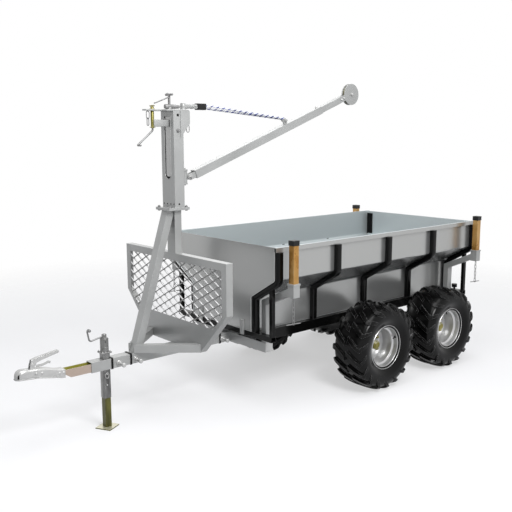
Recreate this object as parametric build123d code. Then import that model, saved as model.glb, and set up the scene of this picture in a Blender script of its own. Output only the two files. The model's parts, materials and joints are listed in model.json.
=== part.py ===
from build123d import *
import math
import os

# Small timber trailer with a manual jib crane, millimetres.
# X points forward to the coupling, Y to the left, Z up. Places are measured from a point of the
# beam's middle line, and heights from a level 58 mm above the ground. The finished pieces are moved
# so that the origin lies in the middle of the whole trailer, on the ground.

GROUND_Z = -58.0

# Wheels and bogie
TYRE_OUTER = 290.0
TYRE_WIDTH = 258.0
LUG_DEPTH = 18.0
LUG_COUNT = 18
LUG_WIDTH = 27.0
LUG_RAKE = 32.0
LUG_SHOULDER = 31.0
LUG_BEVEL = 12.0
LUG_SINK = 4.0
TYRE_WALL = 10.0
SIDEWALL_R = 212.0
SHOULDER_R = 244.0
WHEEL_SIDES = 24
BOGIE_X = -140.0
WHEEL_X = 360.0
WHEEL_Y = 559.0
AXLE_HEIGHT = GROUND_Z + TYRE_OUTER
RIM_SEAT = 131.0
RIM_FLANGE = 147.0
RIM_WIDTH = 213.0
RIM_WALL = 3.0
RIM_DROP = 111.0
RIM_SHELF_OUTER = 37.0
RIM_SHELF_INNER = 29.0
RIM_SLANT = 11.0
DISC_A = -22.0
DISC_STEP = 12.0
DISC_STEP_R = 84.0
DISC_WALL = 5.0
HUB_RADIUS = 29.0
HUB_FLANGE = 72.0
HUB_FLANGE_THICK = 10.0
HUB_LONG = 70.0
HUB_FACE_A = 27.0
HUB_CAP = (25.0, 8.0)
NUT_CIRCLE = 57.0
NUT = (10.0, 12.0)
NUT_COUNT = 4
HUB_CAP_A = 12.0
SPINDLE_RADIUS = 12.5
SHAFT_CLEARANCE = 0.06
SEAT_GAP = 0.3
BOGIE_Y = 380.0
BOGIE_TUBE = 60.0
PIVOT_RADIUS = 20.0
BOGIE_WALL = 5.0
PIVOT_CAP = 14.0
PIVOT_PAD = 15.0
BOGIE_OVERHANG = 40.0
SPINDLE_SHORT = 4.0
SHOULDER_SHORT = 98.0
BOSS_RADIUS = 30.0

# Frame
BEAM = 60.0
BEAM_WALL = 4.0
BEAM_BOTTOM = 295.0
BEAM_REAR = -1020.0
BEAM_PAST_JACK = 100.0
BAND_THICK = 4.0
BAND_LONG = 12.0
BAND_X = (1892.0, 1768.0, 1112.0)
CLAMP_SCREW_X = (1847.0, 1735.0, 1092.0)
SCREW_DROP = 6.0
# Parts of a clamp screw: how far from the beam each starts and ends, and its radius
CLAMP_SCREW = ((0.0, 62.0, 7.0), (0.0, 12.0, 15.0), (48.0, 62.0, 10.0))
BUNK_TUBE = 60.0
ARM_TUBE = 40.0
ARM_INNER_Y = 340.0
ARM_BEND_Z = 606.0
ARM_DEEP = 50.0
TUBE_WALL = 3.0
STRAP_THICK = 6.0
STRAP_HALF = 110.0
POCKET = 50.0
POCKET_OUTER_Y = 622.0
POCKET_BOTTOM = 675.0
POCKET_TOP = 757.0
COLLAR_HIGH = 10.0
STAKE = 40.0
STAKE_TOP = 990.0
CAP_TOP = 1012.0
CAP_LONG = 30.0
CAP_WALL = 3.0
STAKE_LINK = (34.0, 16.0, 4.0)
STAKE_LINKS = 6
MAST_LINK = (48.0, 24.0, 5.0)
PIN_LONG = 112.0
PIN_RADIUS = 3.0
CHAIN_SET = 16.0

# Drawbar nose, coupling and jack
NOSE_WIDTH = 51.0
NOSE_WALL = 5.0
NOSE_PAST_JACK = 30.0
NOSE_LONG = 238.0
NOSE_HIGH = 48.0
NOSE_RAMP = (45.0, 30.0)
BALL_X = 2421.0
BALL_Z = 366.0
BALL_RADIUS = 25.4
HEAD_WALL = 5.0
JACK_X = 1922.0
JACK_OUTER = 45.0
JACK_INNER = 38.0
JACK_OUTER_BOTTOM = 124.0
JACK_FLANGE_Z = 390.0
JACK_TOP = 478.0
JACK_FOOT = 98.0
JACK_FOOT_TURN = 28.0
FOOT_THICK = 6.0
JACK_STROKE = 110.0

# Headboard and mast
BOARD_X = 1447.5
BOARD_DEEP = 46.0
BOARD_HALF = 526.0
BOARD_TOP = 915.5
BOARD_SHOULDER_Z = 616.0
BOARD_BOTTOM_HALF = 275.0
BOARD_SHEET = 2.5
BORDER = 44.0
WINDOW_BOTTOM = 520.0
DIAMOND_LONG = 104.0
DIAMOND_HIGH = 64.0
STRAND = 7.0
LEG_FOOT_X = 1720.0
LEG_TOP_X = 1466.0
LEG_WIDTH = 60.0
LEG_DEEP = 46.0
BRACE_HIGH = 48.0
MAST_FOOT_Y = 82.0
MAST_FOOT_X = 48.0
FLANGE_Z = 1176.0
FLANGE_THICK = 8.0
FLANGE_HALF = 72.0
MAST_X = 1425.0
MAST_DEEP = 68.0
MAST_WIDE = 130.0
MAST_WALL = 4.0
MAST_TOP = 1752.0
MAST_SLOT_BOTTOM = 1358.0
MAST_CORE_BOTTOM = 1405.0
MAST_CORE_RADIUS = 21.0
MAST_SLOT = 64.0
TOP_PLATE = 8.0
TOP_PLATE_FRONT = 1506.0
GUSSET_BOTTOM = 1602.0
T_BOLT_X = 1442.0
PIN_X = 1560.0
PIN_LOW_Z = 1662.0
PIN_ARM_HIGH = 40.0
CHAIN_FRONT_X = 1590.0
CHAIN_REAR_X = 1312.0

# Crane
SLEW_X = 1345.0
SLEW_PIN = 9.0
FOOT_PIN_X = 1312.0
FOOT_PIN_Z = 1365.0
FOOT_PIN_RADIUS = 7.0
BOOM_ANGLE = 20.5
BOOM_TUBE = 50.0
BOOM_WALL = 3.5
BOOM_START = 42.0
BOOM_INNER = 42.0
INNER_TAIL = 480.0
INNER_SHOWN = 198.0
HEAD_REACH = 132.0
BOOM_STROKE = 450.0
SHEAVE_ALONG = 1530.0
SHEAVE_RADIUS = 62.0
SHEAVE_WIDE = 16.0
CHEEK_RADIUS = 74.0
HEAD_PIN = 8.0
EYE_ALONG = 858.0
EYE_RISE = 48.0
ROPE_RADIUS = 4.0
ROPE_SPREAD = 11.0
BLOCK_X = (1247.0, 1187.0)
SWIVEL_Z = 1782.0

# Tub
TUB_MIDDLE = 54.0
TUB_HALF_LONG = 1025.0
SHEET = 2.0
FLOOR_Z = 420.0
LOWER_Y = 300.0
STEP_Z = 640.0
UPPER_Y = 512.0
SHOULDER_Z = 767.0
TUB_TOP = 966.0
RIM_LIP = 17.0
RIM_HIGH = 27.0
RIB_END_GAP = 25.0
RIB_COUNT = 5
RIB_WIDE = 40.0
RIB_DEEP = 36.0
RIB_WALL = 3.0
LOWER_BEND = 20.0
UPPER_BEND = 15.0
CROSSBAR_BOTTOM = 385.0
CROSSBAR_HALF = 480.0
RAIL_WIDE = 40.0
POST = 25.0
GATE_SHEET = 4.0
GATE_GAP = 1.0
GUIDE_DEEP = 58.0
GUIDE_SHEET = 3.0
GATE_STROKE = 560.0
KNOB_Y = 392.0
HOOK_Y = 215.0

# Places worked out from the sizes above
BEAM_TOP = BEAM_BOTTOM + BEAM
BEAM_FRONT = JACK_X + BEAM_PAST_JACK
NOSE_REAR = JACK_X + NOSE_PAST_JACK
NOSE_FRONT = NOSE_REAR + NOSE_LONG
INNER_END = SHEAVE_ALONG - HEAD_REACH
BOOM_END = INNER_END - INNER_SHOWN
BOARD_BOTTOM = BEAM_TOP
BRACE_BOTTOM = BEAM_TOP + 2.0
COUPLING_FRONT = BALL_X + BALL_RADIUS + HEAD_WALL + 3.6
SHIFT_X = -(COUPLING_FRONT + BEAM_REAR) / 2
RIB_PITCH = 2 * (TUB_HALF_LONG - RIB_END_GAP) / (RIB_COUNT - 1)
RIB_XS = [TUB_MIDDLE + RIB_PITCH * (i - (RIB_COUNT - 1) / 2) for i in range(RIB_COUNT)]
BUNK_OFFSET = RIB_XS[-1] - TUB_MIDDLE - RIB_WIDE / 2 - 2.0 - BUNK_TUBE / 2
BUNK_XS = (TUB_MIDDLE + BUNK_OFFSET, TUB_MIDDLE - BUNK_OFFSET)
POCKET_Y = POCKET_OUTER_Y - POCKET / 2
STAKE_FOOT = POCKET_BOTTOM + STRAP_THICK
SIDES = (("left", 1), ("right", -1))
ENDS = (("front", 1), ("rear", -1))

os.makedirs("parts", exist_ok=True)
pieces = {}


def keep(name, *solids):
    """Holds one or more solids under the name of their node."""
    pieces[name] = list(solids)


def block(x0, x1, y0, y1, z0, z1):
    """A rectangular block between two corners."""
    middle = Pos((x0 + x1) / 2, (y0 + y1) / 2, (z0 + z1) / 2)
    return middle * Box(abs(x1 - x0), abs(y1 - y0), abs(z1 - z0))


def tube(axis, x0, x1, y0, y1, z0, z1, wall):
    """A rectangular tube between two corners, open at both ends along its axis."""
    low = [min(x0, x1), min(y0, y1), min(z0, z1)]
    high = [max(x0, x1), max(y0, y1), max(z0, z1)]
    spans = []
    for i, letter in enumerate("xyz"):
        inset = -1.0 if letter == axis else wall
        spans.extend((low[i] + inset, high[i] - inset))
    return block(x0, x1, y0, y1, z0, z1) - block(*spans)


def rod(start, end, radius):
    """A round bar between two points."""
    line = Vector(*end) - Vector(*start)
    plane = Plane(origin=start, z_dir=line)
    return extrude(plane * Circle(radius), line.length)


def prism_xz(points, y0, y1):
    """A side outline in X and Z, carried from y0 to y1."""
    face = make_face(Polyline([(x, y0, z) for x, z in points], close=True))
    return extrude(face, abs(y1 - y0), dir=(0, 1 if y1 > y0 else -1, 0))


def prism_yz(points, x0, x1):
    """A cross outline in Y and Z, carried from x0 to x1."""
    face = make_face(Polyline([(x0, y, z) for y, z in points], close=True))
    return extrude(face, abs(x1 - x0), dir=(1 if x1 > x0 else -1, 0, 0))


def prism_xy(points, z0, z1):
    """A plan outline in X and Y, carried from z0 to z1."""
    face = make_face(Polyline([(x, y, z0) for x, y in points], close=True))
    return extrude(face, abs(z1 - z0), dir=(0, 0, 1 if z1 > z0 else -1))


def offset_path(points, distance):
    """The points of a bent line moved sideways, with mitred corners."""
    moved = []
    for i, (a, b) in enumerate(points):
        normals = []
        for j in (i - 1, i):
            if 0 <= j < len(points) - 1:
                da = points[j + 1][0] - points[j][0]
                db = points[j + 1][1] - points[j][1]
                size = math.hypot(da, db)
                normals.append((db / size, -da / size))
        na = sum(n[0] for n in normals)
        nb = sum(n[1] for n in normals)
        scale = len(normals) * distance / (na * na + nb * nb)
        moved.append((a + na * scale, b + nb * scale))
    return moved


def strip(points, inside, outside):
    """The closed outline of a bent sheet between two offsets of a line."""
    return offset_path(points, outside) + offset_path(points, inside)[::-1]


def shrink(points, distance):
    """A convex outline, its corners listed anticlockwise, moved inwards by a distance."""
    moved = []
    count = len(points)
    for i in range(count):
        before = points[i - 1]
        here = points[i]
        after = points[(i + 1) % count]
        n1 = (-(here[1] - before[1]), here[0] - before[0])
        n2 = (-(after[1] - here[1]), after[0] - here[0])
        s1 = math.hypot(*n1)
        s2 = math.hypot(*n2)
        n1 = (n1[0] / s1, n1[1] / s1)
        n2 = (n2[0] / s2, n2[1] / s2)
        total = (n1[0] + n2[0], n1[1] + n2[1])
        k = 2 * distance / (total[0] ** 2 + total[1] ** 2)
        moved.append((here[0] + total[0] * k, here[1] + total[1] * k))
    return moved


def mirror_y(solid):
    """The same solid on the other side of the trailer."""
    return mirror(solid, about=Plane.XZ)


# Wheels: an axle line along Y, the outer side at plus Y
def faceted(outline, sides):
    """A ring about the axle line from (across, radius) pairs, with flat faces in place of round ones."""
    rings = []
    for i in range(sides):
        turn = 2 * math.pi * i / sides
        rings.append([Vector(r * math.sin(turn), a, r * math.cos(turn)) for a, r in outline])
    faces = []
    for i in range(sides):
        near = rings[i - 1]
        far = rings[i]
        for j in range(len(outline)):
            faces.append(Face(Wire.make_polygon([near[j - 1], near[j], far[j], far[j - 1]])))
    return Solid(Shell(faces))


def disc_bar(radius, a0, a1, sides):
    """A flat-sided round bar along the axle line."""
    return extrude(Plane.XZ.offset(-a0) * RegularPolygon(radius, sides), a0 - a1)


def both_sides(half_outline):
    """The (across, radius) pairs of one half, carried on over the other half."""
    return half_outline + [(-a, r) for a, r in reversed(half_outline)]


def lug(side):
    """One raked tread lug, bevelled where it comes down over the shoulder."""
    reach = TYRE_WIDTH / 2
    rake = math.tan(math.radians(LUG_RAKE)) * reach
    tip = rake / 2 + LUG_WIDTH / 2
    foot = TYRE_OUTER - LUG_DEPTH - LUG_SHOULDER
    top = math.sqrt(TYRE_OUTER ** 2 - tip ** 2)
    floor = top - LUG_DEPTH - LUG_SINK
    shoulder = reach - LUG_SHOULDER
    outline = Polygon(
        (tip - LUG_WIDTH, side * LUG_WIDTH / 4), (tip, side * LUG_WIDTH / 4),
        (LUG_WIDTH - tip, side * reach), (-tip, side * reach), align=None)
    bar = Pos(0, 0, foot) * extrude(outline, top - foot)
    bevel = prism_yz(
        [(side * shoulder, top + 1), (side * (reach + 1), top + 1), (side * (reach + 1), top - LUG_BEVEL)],
        -2 * tip, 2 * tip)
    inside = prism_yz(
        [(side * shoulder, foot - 1), (side * (reach + 1), foot - 1), (side * (reach + 1), foot + LUG_SINK),
         (side * shoulder, floor), (0, floor), (0, foot - 1)], -2 * tip, 2 * tip)
    tip_turn = math.degrees(math.atan2(tip, top))
    return Rot(0, -tip_turn, 0) * (bar - bevel - inside)


def tyre():
    """A hollow carcass with bulged sidewalls, and two rows of raked lugs fused to it."""
    tread = TYRE_OUTER - LUG_DEPTH
    half = TYRE_WIDTH / 2 - LUG_SINK / 2
    bead = RIM_WIDTH / 2 - 2 * RIM_WALL
    seat = RIM_SEAT + SEAT_GAP
    ceiling = tread - 2 * TYRE_WALL
    skin = both_sides([
        (bead, seat), (bead, RIM_FLANGE + 2), (half, SIDEWALL_R), (half - 3, SHOULDER_R),
        (half - LUG_SHOULDER, tread)])
    well = [
        (TYRE_WALL - bead, seat), (TYRE_WALL - bead, ceiling), (bead - TYRE_WALL, ceiling),
        (bead - TYRE_WALL, seat)]
    carcass = faceted(skin + well, WHEEL_SIDES)
    lugs = []
    for i in range(LUG_COUNT):
        for side, half_step in ((1, 0.0), (-1, 0.5)):
            lugs.append(Rot(0, 360 * (i + half_step) / LUG_COUNT, 0) * lug(side))
    return carcass + lugs


def rim():
    """A deep rim: two flanges, a stepped drop centre, and the disc near its middle."""
    half = RIM_WIDTH / 2
    seat = RIM_SEAT - RIM_WALL
    path = [
        (half, RIM_FLANGE), (half - RIM_WALL, seat + RIM_WALL / 2), (half - RIM_SHELF_OUTER, seat),
        (half - RIM_SHELF_OUTER - RIM_SLANT, RIM_DROP), (RIM_SHELF_INNER + RIM_SLANT - half, RIM_DROP),
        (RIM_SHELF_INNER - half, seat), (RIM_WALL - half, seat + RIM_WALL / 2), (-half, RIM_FLANGE)]
    barrel = faceted(strip(path, -RIM_WALL / 2, RIM_WALL / 2), WHEEL_SIDES)
    disc_path = [(DISC_A, RIM_DROP), (DISC_A + DISC_STEP, DISC_STEP_R), (DISC_A + DISC_STEP, HUB_RADIUS + 8)]
    return barrel + faceted(strip(disc_path, -DISC_WALL / 2, DISC_WALL / 2), WHEEL_SIDES)


def hub():
    """A hub flange behind the disc, a boss with a cap through it, and its nuts."""
    disc_front = DISC_A + DISC_STEP + DISC_WALL / 2
    disc_back = disc_front - DISC_WALL
    cap_radius, cap_long = HUB_CAP
    nut_radius, nut_long = NUT
    body = disc_bar(HUB_FLANGE, disc_back - HUB_FLANGE_THICK, disc_back, WHEEL_SIDES)
    body += disc_bar(HUB_RADIUS, disc_back - HUB_LONG, HUB_FACE_A, WHEEL_SIDES)
    body += disc_bar(cap_radius, HUB_FACE_A, HUB_FACE_A + cap_long, WHEEL_SIDES)
    for i in range(NUT_COUNT):
        turn = Rot(0, 360 * (i + 0.5) / NUT_COUNT, 0)
        body += turn * Pos(NUT_CIRCLE, 0, 0) * disc_bar(nut_radius, disc_front, disc_front + nut_long, 6)
    return body - rod((0, disc_back - HUB_LONG - 1, 0), (0, HUB_CAP_A, 0), SPINDLE_RADIUS + SHAFT_CLEARANCE)


WHEEL_PARTS = (("tyre", tyre()), ("rim", rim()), ("hub", hub()))
for end, along in ENDS:
    for side, across in SIDES:
        place = Pos(BOGIE_X + along * WHEEL_X, across * WHEEL_Y, AXLE_HEIGHT)
        for name, solid in WHEEL_PARTS:
            keep(f"{name}_{end}_{side}", place * (solid if across > 0 else mirror_y(solid)))

# Bogie: one cross axle under the main beam, and a walking beam with two spindles each side
half_tube = BOGIE_TUBE / 2
axle_z = BEAM_BOTTOM - half_tube
beam_inner = BOGIE_Y - half_tube
beam_outer = BOGIE_Y + half_tube
pivot_end = beam_outer + PIVOT_CAP
x0 = BOGIE_X - half_tube
x1 = BOGIE_X + half_tube
axle = tube("y", x0, x1, -beam_inner, beam_inner, axle_z - half_tube, axle_z + half_tube, BOGIE_WALL)
for side, across in SIDES:
    axle += block(
        x0, x1, across * (beam_inner - BOGIE_WALL), across * beam_inner, axle_z - half_tube, axle_z + half_tube)
    axle += rod((BOGIE_X, across * beam_inner, axle_z), (BOGIE_X, across * pivot_end, axle_z), PIVOT_RADIUS)
    axle += rod((BOGIE_X, across * beam_outer, axle_z), (BOGIE_X, across * pivot_end, axle_z), BOSS_RADIUS)
keep("axle_tube", axle)
for side, across in SIDES:
    low = AXLE_HEIGHT - half_tube
    inner = across * beam_inner
    outer = across * beam_outer
    reach = WHEEL_X + BOGIE_OVERHANG
    beam = tube("x", BOGIE_X - reach, BOGIE_X + reach, inner, outer, low, low + BOGIE_TUBE, BOGIE_WALL)
    beam += block(x0 - PIVOT_PAD, x1 + PIVOT_PAD, inner, outer, low, axle_z + half_tube)
    beam -= rod(
        (BOGIE_X, inner - across, axle_z), (BOGIE_X, outer + across, axle_z), PIVOT_RADIUS + SHAFT_CLEARANCE)
    for end, along in ENDS:
        x = BOGIE_X + along * WHEEL_X
        beam += rod((x, inner, AXLE_HEIGHT), (x, across * (WHEEL_Y - SPINDLE_SHORT), AXLE_HEIGHT), SPINDLE_RADIUS)
        beam += rod((x, outer, AXLE_HEIGHT), (x, across * (WHEEL_Y - SHOULDER_SHORT), AXLE_HEIGHT), PIVOT_RADIUS)
    keep(f"bogie_beam_{side}", beam)

# Main beam, with two clamp bands and screws near its front
half = BEAM / 2
main_beam = tube("x", BEAM_REAR, BEAM_FRONT, -half, half, BEAM_BOTTOM, BEAM_TOP, BEAM_WALL)
main_beam -= block(
    JACK_X - JACK_OUTER / 2, JACK_X + JACK_OUTER / 2, -JACK_OUTER / 2, JACK_OUTER / 2,
    BEAM_BOTTOM - 1, BEAM_TOP + 1)
keep("main_beam", main_beam)
bands = []
for x in BAND_X:
    wide = half + BAND_THICK
    band = block(
        x - BAND_LONG / 2, x + BAND_LONG / 2, -wide, wide,
        BEAM_BOTTOM - BAND_THICK, BEAM_TOP + BAND_THICK)
    band -= block(x - BAND_LONG, x + BAND_LONG, -half, half, BEAM_BOTTOM, BEAM_TOP)
    bands.append(band)
screw_z = BEAM_BOTTOM + half - SCREW_DROP
for x in CLAMP_SCREW_X:
    screw = None
    for start, end, radius in CLAMP_SCREW:
        length = rod((x, half + start, screw_z), (x, half + end, screw_z), radius)
        screw = length if screw is None else screw + length
    bands.append(screw)
keep("beam_clamps", *bands)

# Nose channel in the front end of the beam, the coupling head over it and its lever
half_nose = NOSE_WIDTH / 2
nose_low = BEAM_BOTTOM + BEAM_WALL + 0.5
nose_top = nose_low + NOSE_HIGH
nose = prism_xz(
    [(NOSE_REAR, nose_low), (NOSE_FRONT - NOSE_RAMP[0], nose_low), (NOSE_FRONT, nose_low + NOSE_RAMP[1]),
     (NOSE_FRONT, nose_top), (NOSE_REAR, nose_top)], -half_nose, half_nose)
nose -= block(
    NOSE_REAR - 1, NOSE_FRONT + 1, -half_nose + NOSE_WALL, half_nose - NOSE_WALL,
    nose_low + NOSE_WALL, nose_top + 1)
keep("nose_channel", nose)
head_inner = half_nose + SEAT_GAP
head_half = head_inner + HEAD_WALL
head_low = BALL_Z - 20
head_rear = NOSE_FRONT - 55
head_top = BALL_Z + BALL_RADIUS + HEAD_WALL
saddle = nose_top + SEAT_GAP
outline = [
    (head_rear, nose_low + 6), (head_rear, saddle + HEAD_WALL), (NOSE_FRONT + 30, saddle + 8),
    (BALL_X - 80, head_top - 8), (BALL_X, head_top - 8), (BALL_X, head_low),
    (BALL_X - 60, head_low), (NOSE_FRONT + 40, nose_low + 14), (NOSE_FRONT + 6, nose_low + 6)]
head = prism_xz(outline, -head_half, head_half)
hollow = [
    (head_rear - 1, nose_low), (head_rear - 1, saddle), (NOSE_FRONT + 30, saddle + 3),
    (BALL_X - 76, head_top - 14), (BALL_X - 44, head_top - 14), (BALL_X - 44, nose_low)]
head -= prism_xz(hollow, -head_inner, head_inner)
dome_radius = BALL_RADIUS + HEAD_WALL + 3.6
dome_wall = Polyline([
    (0, 0, head_low), (dome_radius, 0, head_low), (dome_radius, 0, BALL_Z + 10),
    (dome_radius - 9, 0, head_top - 4), (dome_radius - 22, 0, head_top + 1), (0, 0, head_top + 1)],
    close=True)
head += Pos(BALL_X, 0, 0) * revolve(make_face(dome_wall), Axis.Z, 360)
socket = Polyline([(0, 0, head_low - 1), (BALL_RADIUS, 0, head_low - 1), (BALL_RADIUS, 0, BALL_Z)])
socket += ThreePointArc(
    (BALL_RADIUS, 0, BALL_Z),
    (BALL_RADIUS * math.sqrt(0.5), 0, BALL_Z + BALL_RADIUS * math.sqrt(0.5)),
    (0, 0, BALL_Z + BALL_RADIUS))
socket += Line((0, 0, BALL_Z + BALL_RADIUS), (0, 0, head_low - 1))
head -= Pos(BALL_X, 0, 0) * revolve(make_face(socket), Axis.Z, 360)
keep("coupling_head", head)
lever_foot = head_top - 8
lever = prism_xz(
    [(BALL_X - 72, lever_foot), (BALL_X - 40, lever_foot + 6), (BALL_X - 52, 455), (BALL_X - 72, 462),
     (BALL_X - 215, 478), (BALL_X - 222, 470), (BALL_X - 78, 446)], -11, 11)
lever -= head
keep("coupling_lever", lever)

# Jack: an outer leg through the beam, a flange with the round head, its crank, and the inner leg
half_outer = JACK_OUTER / 2
jack = block(
    JACK_X - half_outer, JACK_X + half_outer, -half_outer, half_outer, JACK_OUTER_BOTTOM, JACK_FLANGE_Z)
flange_half = half_outer + 9
jack += block(
    JACK_X - flange_half, JACK_X + flange_half, -flange_half, flange_half, JACK_FLANGE_Z,
    JACK_FLANGE_Z + 6)
jack += Pos(JACK_X, 0, (JACK_FLANGE_Z + JACK_TOP) / 2) * Cylinder(24, JACK_TOP - JACK_FLANGE_Z)
jack += Pos(JACK_X, 0, JACK_TOP + 11) * Cylinder(14, 22)
bore_half = JACK_INNER / 2 + SEAT_GAP
bore_top = JACK_TOP - 6
jack -= block(
    JACK_X - bore_half, JACK_X + bore_half, -bore_half, bore_half, JACK_OUTER_BOTTOM - 1,
    JACK_FLANGE_Z - 2)
jack -= Pos(JACK_X, 0, (JACK_FLANGE_Z + bore_top) / 2) * Cylinder(19, bore_top - JACK_FLANGE_Z + 10)
keep("jack_outer", jack)
crank_z = JACK_TOP + 8
knee = (JACK_X + 92, 0, crank_z - 12)
crank = rod((JACK_X + 15, 0, crank_z), knee, 5)
crank += Pos(*knee) * Sphere(5)
crank += rod(knee, (JACK_X + 106, 0, crank_z + 54), 5)
crank += rod((JACK_X + 106, -12, crank_z + 54), (JACK_X + 106, 30, crank_z + 54), 8)
keep("jack_crank", crank)
half_inner = JACK_INNER / 2
inner_top = JACK_FLANGE_Z - 12 - JACK_STROKE
leg = block(
    JACK_X - half_inner, JACK_X + half_inner, -half_inner, half_inner, GROUND_Z + FOOT_THICK, inner_top)
plate = Pos(JACK_X, 0, GROUND_Z + FOOT_THICK / 2) * Rot(0, 0, JACK_FOOT_TURN) * Box(
    JACK_FOOT, JACK_FOOT, FOOT_THICK)
keep("jack_leg", leg + plate)

# Bunks: a cross tube each side of the beam, joined by straps, with uprights, arms and pockets
for (end, along), x in zip(ENDS, BUNK_XS):
    half_tube = BUNK_TUBE / 2
    outer_y = ARM_INNER_Y + ARM_TUBE
    pocket_in = POCKET_OUTER_Y - POCKET
    one_side = tube("y", x - half_tube, x + half_tube, half, outer_y, BEAM_BOTTOM, BEAM_TOP, TUBE_WALL)
    arm_line = [
        (ARM_INNER_Y + ARM_TUBE / 2, BEAM_TOP), (ARM_INNER_Y + ARM_TUBE / 2, ARM_BEND_Z),
        (pocket_in + POCKET / 2, POCKET_BOTTOM + ARM_TUBE)]
    half_arm = ARM_TUBE / 2
    arm = prism_yz(strip(arm_line, -half_arm, half_arm), x - ARM_DEEP / 2, x + ARM_DEEP / 2)
    arm -= prism_yz(
        strip(arm_line, TUBE_WALL - half_arm, half_arm - TUBE_WALL),
        x - ARM_DEEP / 2 + TUBE_WALL, x + ARM_DEEP / 2 - TUBE_WALL)
    arm -= block(x - BUNK_TUBE, x + BUNK_TUBE, pocket_in, POCKET_OUTER_Y, BEAM_TOP, POCKET_TOP)
    pocket = block(
        x - POCKET / 2, x + POCKET / 2, pocket_in, POCKET_OUTER_Y, POCKET_BOTTOM, POCKET_TOP)
    collar = TUBE_WALL
    pocket += block(
        x - POCKET / 2 - collar, x + POCKET / 2 + collar, pocket_in - collar, POCKET_OUTER_Y + collar,
        POCKET_TOP - COLLAR_HIGH, POCKET_TOP)
    pocket -= block(
        x - STAKE / 2, x + STAKE / 2, POCKET_Y - STAKE / 2, POCKET_Y + STAKE / 2,
        STAKE_FOOT, POCKET_TOP + 1)
    one_side += arm + pocket
    straps = block(x - ARM_DEEP / 2, x + ARM_DEEP / 2, -STRAP_HALF, STRAP_HALF, BEAM_TOP, BEAM_TOP + STRAP_THICK)
    straps += block(
        x - ARM_DEEP / 2, x + ARM_DEEP / 2, -STRAP_HALF, STRAP_HALF, BEAM_BOTTOM - STRAP_THICK, BEAM_BOTTOM)
    keep(f"bunk_{end}", one_side + mirror_y(one_side) + straps)


def chain_run(x, y, top, link, count):
    """A hanging run of eight-sided links, each a quarter turn from the one above it."""
    length, width, wire = link
    long = length / 2
    wide = width / 2
    corner = wide - wire / 2
    outer = [
        (wide, corner - long), (wide, long - corner), (corner, long), (-corner, long),
        (-wide, long - corner), (-wide, corner - long), (-corner, -long), (corner, -long)]
    flat = Polygon(*outer, align=None) - Polygon(*shrink(outer, wire), align=None)
    ring = Pos(0, wire / 2, 0) * extrude(Plane.XZ * flat, wire)
    pitch = length - 2 * wire - SEAT_GAP
    links = []
    for i in range(count):
        links.append(Pos(x, y, top - long - i * pitch) * Rot(0, 0, 90 * (i % 2)) * ring)
    return links, top - long - (count - 1) * pitch - long + wire


stakes = []
caps = []
chains = []
for x in BUNK_XS:
    for side, across in SIDES:
        y = across * POCKET_Y
        half_stake = STAKE / 2
        stakes.append(block(
            x - half_stake, x + half_stake, y - half_stake, y + half_stake, STAKE_FOOT, STAKE_TOP))
        wide = half_stake + CAP_WALL
        cap = block(x - wide, x + wide, y - wide, y + wide, CAP_TOP - CAP_LONG, CAP_TOP)
        cap -= block(
            x - half_stake, x + half_stake, y - half_stake, y + half_stake, 0, STAKE_TOP)
        caps.append(cap)
        chain_x = x + CHAIN_SET
        chain_y = y + across * CHAIN_SET
        links, bend = chain_run(chain_x, chain_y, POCKET_BOTTOM - SEAT_GAP, STAKE_LINK, STAKE_LINKS)
        seat = bend + PIN_RADIUS + SEAT_GAP
        pin = rod((chain_x - PIN_LONG / 2, chain_y, seat), (chain_x + PIN_LONG / 2, chain_y, seat), PIN_RADIUS)
        chains.extend(links + [pin])
keep("stakes", *stakes)
keep("stake_caps", *caps)
keep("stake_chains", *chains)

# Headboard: a sheet pan with a window, return flanges and a panel of expanded mesh
outline = [
    (-BOARD_HALF, BOARD_TOP), (-BOARD_HALF, BOARD_SHOULDER_Z), (-BOARD_BOTTOM_HALF, BOARD_BOTTOM),
    (BOARD_BOTTOM_HALF, BOARD_BOTTOM), (BOARD_HALF, BOARD_SHOULDER_Z), (BOARD_HALF, BOARD_TOP)]
slope = (BOARD_HALF - BOARD_BOTTOM_HALF) / (BOARD_SHOULDER_Z - BOARD_BOTTOM)
window_half = BOARD_HALF - BORDER
window_low_half = BOARD_HALF - (BOARD_SHOULDER_Z - WINDOW_BOTTOM) * slope - 34
window_knee = WINDOW_BOTTOM + (window_half - window_low_half) / slope
window = [
    (-window_half, BOARD_TOP - BORDER), (-window_half, window_knee), (-window_low_half, WINDOW_BOTTOM),
    (window_low_half, WINDOW_BOTTOM), (window_half, window_knee), (window_half, BOARD_TOP - BORDER)]


board_back = BOARD_X - BOARD_DEEP
board = prism_yz(outline, board_back, BOARD_X)
board -= prism_yz(shrink(outline, BOARD_SHEET), board_back - 1, BOARD_X - BOARD_SHEET)
board -= prism_yz(window, BOARD_X - BOARD_SHEET - 1, BOARD_X + 1)
keep("headboard_frame", board)
mesh_outline = shrink(window, -12)
mesh_back = BOARD_X - BOARD_SHEET
mesh_face = Polygon(*mesh_outline, align=None)
pane = Polygon(*window, align=None)
gap_long = DIAMOND_LONG / 2 - STRAND
gap_high = (DIAMOND_HIGH / 2) * gap_long / (DIAMOND_LONG / 2)
cells = []
rows = int((BOARD_TOP - WINDOW_BOTTOM) / (DIAMOND_HIGH / 2)) + 2
columns = int(BOARD_HALF / DIAMOND_LONG) + 1
for row in range(rows):
    z = WINDOW_BOTTOM - 10 + row * DIAMOND_HIGH / 2
    for column in range(-columns, columns + 1):
        y = (column + 0.5 * (row % 2)) * DIAMOND_LONG
        cells.append(Pos(y, z) * Polygon(
            (-gap_long, 0), (0, gap_high), (gap_long, 0), (0, -gap_high), align=None))
holes = pane & Sketch(children=cells)
mesh_sheet = extrude(Plane(origin=(mesh_back, 0, 0), x_dir=(0, 1, 0), z_dir=(1, 0, 0)) * (
    mesh_face - holes), -2.0)
keep("headboard_mesh", mesh_sheet)

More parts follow.
